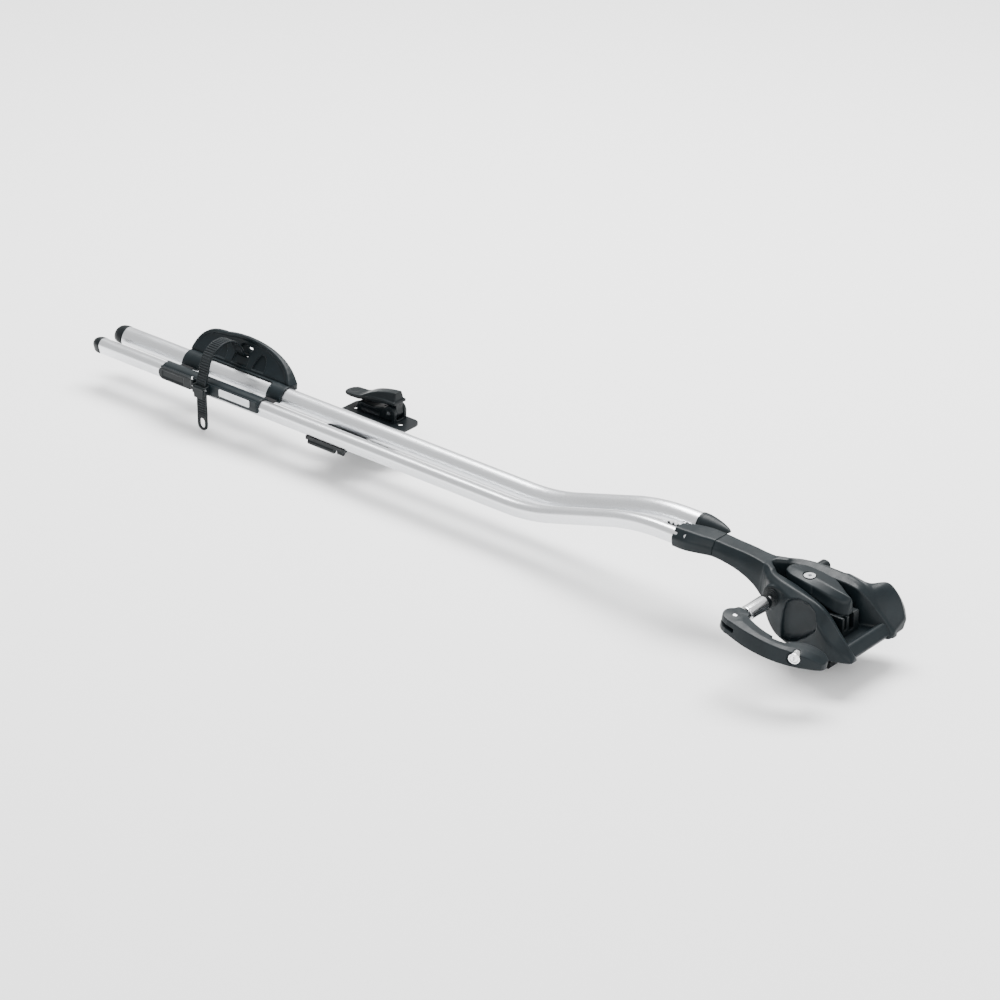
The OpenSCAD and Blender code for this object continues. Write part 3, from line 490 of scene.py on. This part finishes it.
def make_neck_sleeve():
    g = Grid((1102, 1164), (-43, 20), (47, 83), 0.8)
    sleeve = smax(prism(g.x, g.y, g.z, NECK, 2.4, 1.2), g.x - (NECK_SEAM + 0.1), 0.3)
    rail_room = outline(-g.y, g.z, [(HALF_W - y, h + RAIL_RISE) for y, h in rail_outline(0.3)])
    sleeve = np.maximum(sleeve, -np.maximum(rail_room, g.x - 1110))
    add_piece("neck_sleeve", *surface(g, sleeve, 1), "frame", "slate_plastic", ("neck_moulding",))


ARM = [  # station, then (y, z) of inner foot, inner top, ridge, shoulder, outer foot
    (1246, [(1, 34), (2, 61), (13, 64.5), (21, 56), (23, 31)]),
    (1262, [(14, 12), (14, 60), (25, 64.5), (35, 57), (38, 10)]),
    (1284, [(20, 3), (20.5, 60), (34, 63.9), (44, 57), (50, -7)]),
    (1306, [(21.5, -3), (22, 56), (38.5, 62.2), (51, 53), (56, -13)]),
    (1330, [(23, -8), (24, 49), (41.5, 59.8), (57, 50), (60.5, -14)]),
    (1352, [(24, -10), (25, 40), (44.5, 55.8), (61, 44), (62.5, -13.5)]),
    (1367, [(25, -11), (26, 28), (45.5, 48.5), (63, 34), (63, -13)]),
    (1378, [(26, -11.5), (27, 16), (43.5, 37), (62.5, 22), (63, -12)]),
    (1390, [(28, -11.5), (28, 4), (42, 22), (59, 9), (60, -12)]),
    (1401, [(30, -11.5), (31, -3), (42, 10.5), (54, 0), (56, -12)]),
    (1414, [(36, -11), (37, -8), (43, -4), (49, -7), (51, -11)]),
]
# the far arm has a broad top that runs inward to this edge
FAR_EDGE = {1306: (22, 58), 1330: (24, 56.5), 1352: (27, 54), 1367: (28.5, 50), 1378: (33, 38.5),
            1390: (37.5, 24), 1401: (40.5, 10)}
FAR_ARM = [(x, [ring[0], FAR_EDGE.get(x, ring[1])] + ring[2:]) for x, ring in ARM]
DISH = [(1305, 44), (1313, 52), (1324, 55.5), (1341, 54), (1355, 47), (1363.5, 36), (1362, 25), (1348, 11),
        (1331, -2), (1314, -9), (1302, -9), (1300, 8), (1301, 30)]


def make_head():
    g = Grid((1158, 1417), (-70, 84), (-16, 74), 0.85)
    side = np.abs(g.y)
    near_arm = prism(g.x, -g.y, g.z, ARM, 2.6, 2.0)
    far_arm = prism(g.x, g.y, g.z, FAR_ARM, 2.0, 2.0)
    body = np.minimum(near_arm, far_arm)
    neck = smax(prism(g.x, g.y, g.z, NECK, 2.0, 1.0), NECK_SEAM + 0.4 - g.x, 0.3)
    # the channel between the arms runs back into the neck
    channel = prism(g.x, side, g.z, [
        (1245, [(-8, 34), (-8, 90), (4, 90), (4, 34)]),
        (1258, [(-14, 6), (-14, 90), (13.5, 90), (13.5, 6)]),
        (1284, [(-18, 3), (-18, 90), (20, 90), (20, 3)])], 2.5)
    neck = smax(neck, -channel, 1.6)
    body = smin(body, neck, 6.0)
    floor = block(g, (1284, 1397), (-38, 38), (-12, 2), 2.0)
    body = smin(body, floor, 3.0)
    horn = prism(g.x, g.y, g.z, [
        (1336, [(42, -8), (36, 54), (46, 57), (56, 48), (60, -8)]),
        (1360, [(44, -10), (36, 50), (62, 46), (72, 36), (71, -10)]),
        (1378, [(46, -11), (39, 37), (79, 46), (86, 37), (80, -11)]),
        (1392, [(46, -11.5), (41, 21), (79, 37), (87, 28), (80, -11)]),
        (1404, [(46, -11.5), (44, 6), (76, 23), (84, 14), (77, -11)]),
        (1413, [(45, -10), (45, -4), (71, 8), (76, 3), (69, -9)])], 2.4, 2.0)
    body = smin(body, horn, 6.0)
    # a bowl in each arm's outer side, with a step down to it at the rear
    bowl = smax(outline(g.x, g.z, DISH), 45.5 - side, 9.0)
    body = smax(body, -bowl, 1.6)
    # round boss that the collars stand on
    boss = rod(g.x, g.z, (SKEWER_X, SKEWER_Z), 17.0, side, 20, 45.0, 1.5)
    body = smin(body, boss, 3.0)
    body = smax(body, -rod(g.x, g.z, (SKEWER_X, SKEWER_Z), 3.0, side, -5, 90), 0.5)
    add_piece("fork_head", *surface(g, body, 2), "frame", "slate_plastic", ("head_body",))


def make_cover():
    g = Grid((1268, 1380), (-24, 29), (24, 72), 0.6)
    cover = prism(g.x, g.y, g.z, [
        (1271, [(-6, 55), (-6.5, 63.5), (0, 66.5), (9, 65), (9, 55)]),
        (1284, [(-15, 52), (-14.5, 64.8), (0, 66.8), (20, 63.6), (21, 52)]),
        (1300, [(-17.4, 50), (-16, 62.8), (0, 65.4), (23.4, 61.6), (24, 50)]),
        (1318, [(-18.2, 46), (-14.6, 58.4), (0, 63.2), (24, 59.6), (24.4, 46)]),
        (1334, [(-18, 41), (-12.6, 54.8), (0, 60.6), (22.5, 57), (23, 41)]),
        (1346, [(-17.4, 37), (-11.6, 52.2), (0, 58.6), (17.5, 54.4), (19, 37)]),
        (1358, [(-16.4, 33), (-9.6, 49.4), (0, 56.6), (11, 52), (14, 33)]),
        (1369, [(-12, 30), (-7, 46.8), (0, 54.6), (6, 50), (9, 30)]),
        (1375, [(-7, 29), (-4, 45), (0, 53), (3, 48), (5, 29)])], 1.4, 2.4)
    # the near side is scooped under the crease
    scoop = np.sqrt((g.y + 27) ** 2 + (g.z - 50 + 0.20 * (g.x - 1340)) ** 2) - 12.0
    cover = smax(cover, -np.maximum(scoop, 1322 - g.x), 3.0)
    hollow = prism(g.x, g.y, g.z, [
        (1270, [(-4, 40), (-4, 61), (4, 61), (4, 40)]),
        (1306, [(-14, 40), (-13, 56), (15, 56), (15, 40)]),
        (1340, [(-12, 20), (-9, 48), (11, 50), (12, 20)]),
        (1368, [(-6, 20), (-3, 40), (3, 40), (5, 20)])], 1.5)
    cover = np.maximum(cover, -hollow)
    screw_seat = rod(g.x, g.y, (1306, 0), 8.9, g.z, 57.0, 90, 0.5)
    cover = smax(cover, -screw_seat, 0.6)
    add_piece("cover_shell", *surface(g, cover), "frame", "slate_plastic", ("head_cover",))


def make_guide_block():
    g = Grid((1344, 1381), (-24, 20), (0, 35), 0.6)
    solid = block(g, (1352, 1377), (-21, 16), (1.5, 31), 1.5)
    for cutter in (block(g, (1366, 1392), (-6, 4), (8, 50), 0.8),
                   block(g, (1340, 1359), (-14, 12), (14, 50), 0.8),
                   block(g, (1370, 1392), (-16.5, -11.5), (12, 50), 0.6)):
        solid = smax(solid, -cutter, 0.7)
    add_piece("guide_prongs", *surface(g, solid), "frame", "dark_plastic", ("guide_block",))


def make_crossbar():
    g = Grid((1388, 1414), (-45, 45), (-13, 12), 0.7)
    bar = outline(g.x, g.z, [(1392, 4), (1396, 8), (1400, 8.5), (1403, 7), (1411, -5), (1409, -10),
                             (1394, -11), (1392, -8)])
    bar = smax(bar, np.abs(g.y) - 44, 1.0)
    groove = block(g, (1385, 1413), (-3, 3), (9.0, 20), 0.5)
    add_piece("crossbar_skin", *surface(g, smax(bar, -groove, 0.6)), "frame", "slate_plastic",
              ("front_crossbar",))


def make_plug():
    g = Grid((1102, 1164), (7, 41), (51, 82), 0.7)
    shrink = curve(g.x, [(1104, 0.0), (1112, 0.0), (1122, 1.2), (1132, 3.2), (1142, 6.0), (1150, 9.2),
                         (1156, 12.5), (1160, 17.0)])
    shape = outline(g.y, g.z, [(HALF_W - y, h + RAIL_RISE) for y, h in rail_outline(1.0)])
    dome = smax(shape + shrink, slab(g.x, 1104, 1159), 2.0)
    dome = smax(dome, curve(g.x, [(1104, 9.4), (1128, 9.6), (1142, 15.2), (1164, 18.5)]) - g.y, 0.5)
    seam = smax(slab(g.x, 1108.6, 1109.4), -(shape + 0.6), 0.2)
    add_piece("plug_dome", *surface(g, np.maximum(dome, -seam)), "frame", "slate_plastic",
              ("far_rail_plug",))


def make_collars():
    """Turned rings that step down to the drop-out seats."""
    for name, side in (("near", -1), ("far", 1)):
        g = Grid((SKEWER_X - 20, SKEWER_X + 20), (35, 51), (SKEWER_Z - 20, SKEWER_Z + 20), 0.5)
        radius = np.sqrt((g.x - SKEWER_X) ** 2 + (g.z - SKEWER_Z) ** 2)
        shape = None
        for low, high, r in ((40, 45.5, 15.6), (45.5, 47.4, 13.2), (47.4, 48.8, 11.0), (48.8, 50, 9.2)):
            ring = smax(radius - r, slab(g.y, low, high), 0.9)
            shape = ring if shape is None else np.minimum(shape, ring)
        shape = smax(shape, 4.55 - radius, 0.2)
        points, faces = surface(g, shape, 1)
        points[:, 1] *= side
        if side < 0:
            faces = faces[:, ::-1]
        add_piece("collar_" + name, points, faces, "frame", "dark_plastic",
                  ("fork_collars",) if side < 0 else ())


make_neck_sleeve()
make_head()
make_cover()
make_guide_block()
make_crossbar()
make_plug()
make_collars()


# ------------------------------------------------------------ quick-release lever
def lever_place(points):
    """From the lever's own frame to the station frame."""
    c, s = math.cos(LEVER_TILT), math.sin(LEVER_TILT)
    x, y, z = np.asarray(points).T
    return np.stack([SKEWER_X + c * x + s * z, LEVER_Y + y, SKEWER_Z - s * x + c * z], axis=1)


LEVER_OUTER = (bezier([(0, -16), (55, -28), (100, -10), (131, 24)], 16)
               + bezier([(131, 24), (135, 32), (132, 42), (122, 44)], 6)[1:])
LEVER_INNER = (bezier([(122, 44), (104, 41), (92, 34), (84, 22)], 8)[1:]
               + bezier([(84, 22), (74, 8), (52, 2), (18, 11)], 12)[1:])
LOCK_AT, LOCK_TURN, LOCK_R, LOCK_FACE = (101.0, 0.0, 1.0), math.radians(22), 8.0, 1.0


def make_lever():
    g = Grid((-20, 139), (-27, 49), (-13, 13), 0.6)
    end = np.sqrt(g.x ** 2 + g.y ** 2) - 16.4
    hub = block(g, (-10, 12), (-4, 21.5), (-60, 60), 6.0)
    arm = outline(g.x, g.y, LEVER_OUTER + LEVER_INNER + [(0, 15.9)])
    plan = smin(smin(end, arm, 4.0), hub, 3.0)
    # the outer side leans in as it rises, and the top falls towards the tip
    crest = curve(g.x, [(-20, 9.4), (30, 9.0), (70, 8.4), (96, 7.2), (116, 3.0), (128, -2.0), (139, -6.5)])
    lean = 0.22 * (g.z + 11.0) * np.clip((g.x + 10) / 50.0, 0.0, 1.0)
    outer = plan + np.maximum(lean, 0.0)
    inner_side = np.clip((g.y - curve(g.x, [(-20, 0), (30, -4), (84, 14), (139, 40)])) / 4.0, 0.0, 1.0)
    sides = outer * (1 - inner_side) + plan * inner_side
    top = g.z - crest - 0.10 * np.maximum(-plan - 1.0, 0.0) - 0.8
    body = smax(smax(sides, top, 0.8), -11.0 - g.z, 1.2)
    slot = smax(np.abs(g.z + 0.5) - 2.6, np.maximum(g.x - 12.5, -40.0 - g.x), 0.3)
    core = 8.0 - np.sqrt(g.x ** 2 + g.y ** 2)
    open_side = smax(np.abs(g.z) - 3.0, np.maximum(np.abs(g.x) - 8.2, -g.y), 0.3)
    body = smax(body, -np.maximum(slot, core), 0.4)
    body = smax(body, -open_side, 0.4)
    # hollow under the arm
    under = smax(arm + 4.2, np.maximum(g.z - 2.0, 30.0 - g.x), 1.0)
    under = smax(under, g.x - 82.0, 1.5)
    body = smax(body, -under, 0.6)
    # the lock's seat, in a shallow recess that reaches a little further to the rear
    c, s = math.cos(LOCK_TURN), math.sin(LOCK_TURN)
    along = c * (g.x - LOCK_AT[0]) + s * (g.y - LOCK_AT[1])
    out = -s * (g.x - LOCK_AT[0]) + c * (g.y - LOCK_AT[1])
    radius = np.sqrt(along ** 2 + (g.z - LOCK_AT[2]) ** 2)
    body = smax(body, -np.maximum(radius - LOCK_R - 0.15, out - 13.2), 0.3)
    rim = np.sqrt((along + 1.6) ** 2 + (g.z - LOCK_AT[2]) ** 2)
    body = smax(body, -smax(rim - LOCK_R - 0.6, out - LOCK_FACE - 2.2, 0.6), 0.6)
    body = smax(body, -(np.sqrt(g.x ** 2 + g.y ** 2) - 3.05), 0.3)
    points, faces = surface(g, body, 1)
    add_piece("lever_shell", lever_place(points), faces, "qr_lever", "slate_plastic", ("qr_lever",))


def make_lock():
    """The barrel's bright ring and the turning plug with its keyway."""
    g = Grid((-9, 9), (-1, 14), (-9, 9), 0.35)
    ring = rod(g.x, g.z, (0, 0), LOCK_R, g.y, LOCK_FACE, 12.9, 0.7)
    ring = smax(ring, -rod(g.x, g.z, (0, 0), 5.75, g.y, -9, 11), 0.3)
    plug = rod(g.x, g.z, (0, 0), 5.6, g.y, LOCK_FACE + 0.5, 10.8, 0.5)
    slit = block(g, (-0.8, 0.8), (-9, 6), (-3, 3), 0.3)
    keyway = smin(slit, rod(g.x, g.z, (0, 1.6), 1.5, g.y, -9, 6, 0.2), 0.3)
    plug = smax(plug, -keyway, 0.3)
    c, s = math.cos(LOCK_TURN), math.sin(LOCK_TURN)
    at_x, at_y, at_z = LOCK_AT
    for name, field, body, slot, replaced in (
            ("lock_ring", ring, "qr_lever", "lock_chrome", "lock_barrel"),
            ("lock_core", plug, "lock_plug", "bright_steel", "lock_plug")):
        points, faces = surface(g, field, 1)
        u, v, w = points.T
        points = np.stack([at_x + c * u - s * v, at_y + s * u + c * v, at_z + w], axis=1)
        add_piece(name, lever_place(points), faces, body, slot, (replaced,))


def make_bush_and_ring():
    """The bright thrust bush and the dark ribbed ring behind it."""
    bush = [(-104.9, 0.8), (-104.6, 9.0), (-104.2, 9.6), (-102.4, 9.8), (-101.8, 10.8), (-67.2, 11.0),
            (-66.5, 10.8), (-66.1, 10.2)]
    ring = [(-65.9, 9.0), (-65.5, 10.2), (-64.3, 10.2), (-64.0, 8.9), (-63.2, 8.9), (-62.9, 10.2),
            (-61.7, 10.2), (-61.4, 8.9), (-60.6, 8.9), (-60.3, 10.2), (-59.4, 10.0), (-59.1, 9.2)]
    sides = 64
    angles = [2 * math.pi * i / sides for i in range(sides)]
    for name, profile, slot, replaced in (("bush_skin", bush, "bright_steel", "thrust_bush"),
                                          ("grip_ring_skin", ring, "dark_plastic", "grip_ring")):
        points, faces = sweep([[(SKEWER_X + r * math.cos(a), y, SKEWER_Z + r * math.sin(a))
                                for a in angles] for y, r in profile])
        add_piece(name, points, faces, "skewer", slot, (replaced,), sharp=30)


make_lever()
make_lock()
make_bush_and_ring()


# ------------------------------------------------------------ wheel tray
TRAY_X0, TRAY_X1 = 124.0, 329.0
FAR_RAIL = [(HALF_W - y, h) for y, h in rail_outline()]


def make_saddle():
    g = Grid((121, 332), (-44, 44), (-2, 28), 0.8)
    rail = outline(g.y, g.z, FAR_RAIL)
    near = outline(-g.y, g.z, FAR_RAIL)
    grown = smin(rail, near, 9.0) - (GAP + SKIN)
    room = np.minimum(rail, near) - GAP
    shell = smax(grown, -room, 0.6)
    bottom = np.where(g.y > 0, 0.5, 5.5)
    shell = smax(shell, bottom - g.z, 0.8)
    # between the rails the skin is a thin floor
    shell = smax(shell, -smax(np.abs(g.y) - 11.5, g.z - 4.5, 1.0), 1.0)
    ends = slab(g.x, TRAY_X0, TRAY_X1)
    shell = smax(shell, ends, 1.0)
    # the near sleeve is a little shorter, and the wheel's opening has one round end
    shell = smax(shell, np.minimum(128.0 - g.x, -g.y - 22.0), 0.8)
    middle, half = 3.0, 22.5
    left = np.sqrt((g.x - 180) ** 2 + (g.y - middle) ** 2) - half
    right = block(g, (180, 299), (middle - half, middle + half), (-40, 80), 5.0)
    window = np.minimum(left, right)
    shell = smax(shell, -window, 1.0)
    shell = smin(shell, block(g, (129, 327), (-40.95, -38.2), (5.6, 24.0), 0.9), 1.4)
    shell = np.maximum(shell, -room)
    add_piece("saddle_skin", *surface(g, shell), "wheel_tray", "slate_plastic", ("tray_saddle",))


def make_cradle():
    g = Grid((121, 332), (26, 60), (14, 71), 0.8)
    arch = (bezier([(124, 24), (124, 52), (150, 62), (182, 62)], 12)
            + bezier([(182, 62), (225, 72), (298, 68), (329, 24)], 18)[1:] + [(329, 12), (124, 12)])
    edge = outline(g.x, g.z, arch)
    inner = curve(g.z, [(14, 33), (22, 30), (27, 31.5), (34, 37), (44, 44), (56, 49.5), (72, 52.5)])
    outer = curve(g.z, [(14, 46), (24, 47.0), (40, 51.5), (56, 55.0), (72, 56.5)])
    wall = smax(smax(inner - g.y, g.y - outer, 0.8), edge, 1.0)
    rim = smax(smax(edge, -edge - 4.6, 1.2), smax(inner - 1.6 - g.y, g.y - outer, 0.6), 1.0)
    wall = smin(wall, rim, 1.5)
    rail = outline(g.y, g.z, FAR_RAIL) - (GAP + SKIN + 0.2)
    wall = smax(wall, -rail, 0.6)
    # hollow back, which leaves a skin, a rim and ribs
    back = smax(inner + 3.4 - g.y, edge + 4.5, 1.5)
    ribs = None
    for x in (150, 174, 204, 240, 272, 300):
        rib = np.abs(g.x - x) - 1.4
        ribs = rib if ribs is None else np.minimum(ribs, rib)
    back = smax(back, -ribs, 0.8)
    back = smax(back, 27.0 - g.z, 1.0)
    wall = smax(wall, -back, 0.8)
    # arched pockets in the inner face
    for x, z, rx, rz, depth in ((180, 26, 12, 22, 5.5), (221, 26, 16, 29, 6.0), (260, 26, 12, 22, 5.5)):
        mouth = (np.sqrt(((g.x - x) / rx) ** 2 + ((g.z - z) / rz) ** 2) - 1.0) * rx
        pocket = smax(mouth, g.y - inner - depth, 2.5)
        wall = smax(wall, -smax(pocket, 27.5 - g.z, 1.0), 1.2)
        shell = smax(smax(mouth - 1.5, slab(g.y - inner, depth - 1.4, depth + 2.6), 0.8), 26.5 - g.z, 0.8)
        wall = smin(wall, smax(shell, edge + 2.0, 0.8), 1.0)
    slot_r = 2.7
    slot = outline(g.x, g.z, arc(235.0, 50, slot_r, slot_r, -90, 90, 6)
                   + arc(227.5, 50, slot_r, slot_r, 90, 270, 6))
    wall = smax(wall, -smax(slot, 20 - g.y, 0.5), 0.8)
    strap_slot = np.maximum(np.abs(g.x - STRAP_X) - 10.4, np.abs(g.z - 39.0) - 2.4)
    wall = smax(wall, -strap_slot, 0.6)
    add_piece("cradle_wall", *surface(g, wall), "wheel_tray", "slate_plastic", ("tray_cradle",))


STRAP_Y = -HALF_W - 7.0
TAIL_Z = -54.0


def make_strap():
    """A ribbed strap: down the near side, over the wheel's place, into the cradle's wall."""
    crown, bow, anchor = (0.0, 38.0), 38.0, (55.6, 38.0)
    line = [(STRAP_Y, TAIL_Z), (STRAP_Y, 8.0)]
    line += bezier([(STRAP_Y, 21), (STRAP_Y, 29), (-39.6, 34), (-37.8, 42)], 8)
    line += arc(*crown, bow, bow, 168, 18, 25)
    line += bezier([(36.1, 49.7), (38.6, 42.2), (42, 38.2), anchor], 8)[1:]
    g = Grid((STRAP_X - 12, STRAP_X + 12), (-49, 62), (-57, 79), 0.5)
    y, z = g.y[0], g.z[0]
    best = np.full((g.shape[1], g.shape[2]), 1e9, dtype=np.float32)
    along = np.zeros_like(best)
    sign = np.ones_like(best)
    start = 0.0
    for (y0, z0), (y1, z1) in zip(line, line[1:]):
        length = math.hypot(y1 - y0, z1 - z0)
        ty, tz = (y1 - y0) / length, (z1 - z0) / length
        t = np.clip((y - y0) * ty + (z - z0) * tz, 0, length)
        d = (y - y0 - t * ty) ** 2 + (z - z0 - t * tz) ** 2
        nearer = d < best
        best = np.where(nearer, d, best)
        along = np.where(nearer, start + t, along)
        sign = np.where(nearer, np.where((y - y0) * tz - (z - z0) * ty > 0, -1.0, 1.0), sign)
        start += length
    across = np.sqrt(best)
    pitch, depth, first, last = 4.0, 1.2, 26, 172
    tooth = 0.5 + 0.5 * np.cos(2 * math.pi * along / pitch)
    ribbed = (along > first) & (along < last)
    half = np.where(ribbed & (sign > 0), STRAP_T / 2 - depth * (1 - tooth) ** 1.3, STRAP_T / 2)
    flat = (across - half)[None]
    width = np.abs(g.x - STRAP_X) - STRAP_W / 2
    rail_edge = np.abs(g.x - STRAP_X) - (STRAP_W / 2 - 1.6)
    edge_bead = np.maximum(across[None] - STRAP_T / 2, -rail_edge)
    strap = smax(np.minimum(flat, edge_bead), width, 0.6)
    bead = rod(g.y, g.z, anchor, 4.2, g.x, STRAP_X - STRAP_W / 2, STRAP_X + STRAP_W / 2)
    pin_hole = 2.05 - np.sqrt((g.y - anchor[0]) ** 2 + (g.z - anchor[1]) ** 2)
    strap = smax(smin(strap, bead, 1.0), pin_hole, 0.3)
    tip_r, hole_r = 10, 5
    tip = np.sqrt((g.x - STRAP_X) ** 2 + (g.z - (TAIL_Z + tip_r)) ** 2) - tip_r
    strap = smax(strap, np.where(g.z < TAIL_Z + tip_r, tip, -5.0), 0.6)
    hole = outline(g.x, g.z, arc(STRAP_X, -39, hole_r, hole_r, 0, 180, 8)
                   + arc(STRAP_X, -45, hole_r, hole_r, 180, 360, 8))
    strap = smax(strap, -np.maximum(hole, g.z + 20), 0.6)
    add_piece("ribbed_strap", *surface(g, strap, 1), "wheel_tray", "strap_rubber", ("wheel_strap",))


def make_buckle():
    low, high = STRAP_X - STRAP_W / 2 - 3.4, STRAP_X + STRAP_W / 2 + 3.4
    pin_y, pin_z, cheek_w = -HALF_W - 11.6, 17.0, 3.0
    g = Grid((low - 2, high + 2), (-54, -39), (-1, 24), 0.5)
    base = block(g, (low, high), (-43.2, -41.0), (6.2, 22), 0.7)
    for x in (low, high - cheek_w):
        cheek = block(g, (x, x + cheek_w), (-51.8, -41.5), (7, 21), 1.4)
        base = smin(base, cheek, 0.6)
    add_piece("buckle_frame", *surface(g, base), "wheel_tray", "dark_plastic", ("buckle_base",))
    pawl = rod(g.y, g.z, (pin_y, pin_z), 2.8, g.x, low + 3.3, high - 3.3, 0.5)
    sections = []
    for z, outer, inner, inset in ((1.2, -3.2, -0.8, 4.5), (9.0, -2.9, 0.9, 3.3), (18.0, -2.4, 1.4, 3.3)):
        y0, y1, x0, x1 = pin_y + outer, pin_y + inner, low + inset, high - inset
        sections.append((z, [(y0, x0), (y0, x1), (y1, x1), (y1, x0)]))
    pawl = smin(pawl, prism(g.z, g.y, g.x, sections, 0.8, 0.8), 1.0)
    pawl = np.maximum(pawl, 1.55 - np.sqrt((g.y - pin_y) ** 2 + (g.z - pin_z) ** 2))
    add_piece("pawl_tongue", *surface(g, pawl), "buckle_pawl", "dark_plastic", ("buckle_pawl",))


def make_tray_lever():
    x0, pin_x, y = 130.0, 200.0, -44.55
    g = Grid((x0 - 2, pin_x + 5), (-49, -40), (4, 27), 0.5)
    plate = smax(outline(g.x, g.z, arc(x0 + 9.5, 15.5, 9.5, 9.5, 90, 270, 14)
                         + [(196, 6), (198, 8), (198, 23), (196, 25)]), np.abs(g.y - y) - 2.6, 1.0)
    hub = rod(g.x, g.y, (pin_x, y), 3.2, g.z, 8, 24, 0.5)
    lever = smin(plate, hub, 0.8)
    panel = smax(block(g, (x0 + 8, 184), (-60, y - 1.5), (9.5, 21.5), 2.0), y - 6 - g.y, 0.3)
    lever = smax(lever, -panel, 0.6)
    lever = np.maximum(lever, 1.65 - np.sqrt((g.x - pin_x) ** 2 + (g.y - y) ** 2))
    add_piece("tray_lever_skin", *surface(g, lever), "tray_lever", "dark_plastic", ("tray_lever",))


make_saddle()
make_cradle()
make_strap()
make_buckle()
make_tray_lever()


# ------------------------------------------------------------ rear foot
TOWER_Y = (76.0, 104.0)
PIVOT = (FOOT_X + 24, 13.0)


def make_tower():
    g = Grid((418, 500), (73, 107), (-2, 28), 0.7)
    side = outline(g.x, g.z, [(421, -0.35), (496, -0.35), (496, 13), (477, 20), (455, 14.5), (425, 14.5),
                              (421, 11)])
    solid = smax(side, slab(g.y, *TOWER_Y), 1.4)
    cheek = rod(g.x, g.z, PIVOT, 11.0, g.y, *TOWER_Y, 1.4)
    solid = smin(solid, cheek, 1.0)
    way = block(g, (471, 520), (TOWER_Y[0] + 6, TOWER_Y[1] - 6), (1.5, 60), 0.8)
    solid = smax(solid, -way, 0.6)
    flank = block(g, (431, 466), (60, TOWER_Y[0] + 1.6), (3.5, 11), 1.5)
    solid = smax(solid, -flank, 1.0)
    add_piece("foot_tower", *surface(g, solid), "rear_foot", "dark_plastic", ("foot_block",))


def make_foot_lever():
    g = Grid((386, 500), (74, 106), (-1, 48), 0.7)
    mid = (TOWER_Y[0] + TOWER_Y[1]) / 2
    skirt = outline(g.x, g.z, [(496, 27.5), (495, 31.5), (473, 31), (439, 27.5), (422, 22.5), (403, 21.3),
                               (391, 19.5), (390.5, 17), (409, 16.3), (424, 17), (436, 20), (457, 21),
                               (473, 25.8)])
    paddle = outline(g.x, g.y, arc(404, mid, 13.5, 13.5, 90, 270, 16)
                     + [(496, TOWER_Y[0] + 0.5), (496, TOWER_Y[1] - 0.5)])
    lever = smax(skirt, paddle, 1.4)
    back = outline(g.x, g.z, bezier([(491.5, 44), (467, 42), (439, 34), (427, 22)], 12) + [(495, 28)])
    lean = np.maximum(g.z - 28.0, 0.0) * 0.45
    ridge = smax(back, np.maximum(TOWER_Y[0] + 1.5 + lean - g.y, g.y - TOWER_Y[1] + 3.0 + 0.35 * lean), 1.4)
    lever = smin(lever, ridge, 2.5)
    # shallow thumb hollow in the paddle
    thumb = np.sqrt((g.x - 405) ** 2 + (g.y - mid) ** 2 * 1.2 + (g.z - 38) ** 2) - 17.6
    lever = smax(lever, -thumb, 1.5)
    cam = rod(g.x, g.z, (PIVOT[0], PIVOT[1] - 1.2), 10.0, g.y, TOWER_Y[0] + 6.4, TOWER_Y[1] - 6.4, 0.8)
    web = block(g, (PIVOT[0] - 9, PIVOT[0] + 9), (TOWER_Y[0] + 6.4, TOWER_Y[1] - 6.4), (15, 29), 0.8)
    lever = np.minimum(lever, smin(cam, web, 1.5))
    lever = np.maximum(lever, 3.05 - np.sqrt((g.x - PIVOT[0]) ** 2 + (g.z - PIVOT[1]) ** 2))
    add_piece("cam_lever", *surface(g, lever), "foot_lever", "dark_plastic", ("foot_lever",))


make_tower()
make_foot_lever()


# ------------------------------------------------------------ stage
def make_floor():
    size, height = 12.0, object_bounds()[0][2] - 0.002
    mesh = bpy.data.meshes.new("floor")
    corners = [(-size, -size), (size, -size), (size, size), (-size, size)]
    mesh.from_pydata([(x, y, height) for x, y in corners], [], [(0, 1, 2, 3)])
    mat, _, shader = material("floor", Roughness=0.9)
    shader.inputs["Base Color"].default_value = (0.92, 0.92, 0.92, 1.0)
    mesh.materials.append(mat)
    floor = bpy.data.objects.new("floor", mesh)
    bpy.context.scene.collection.objects.link(floor)


make_floor()
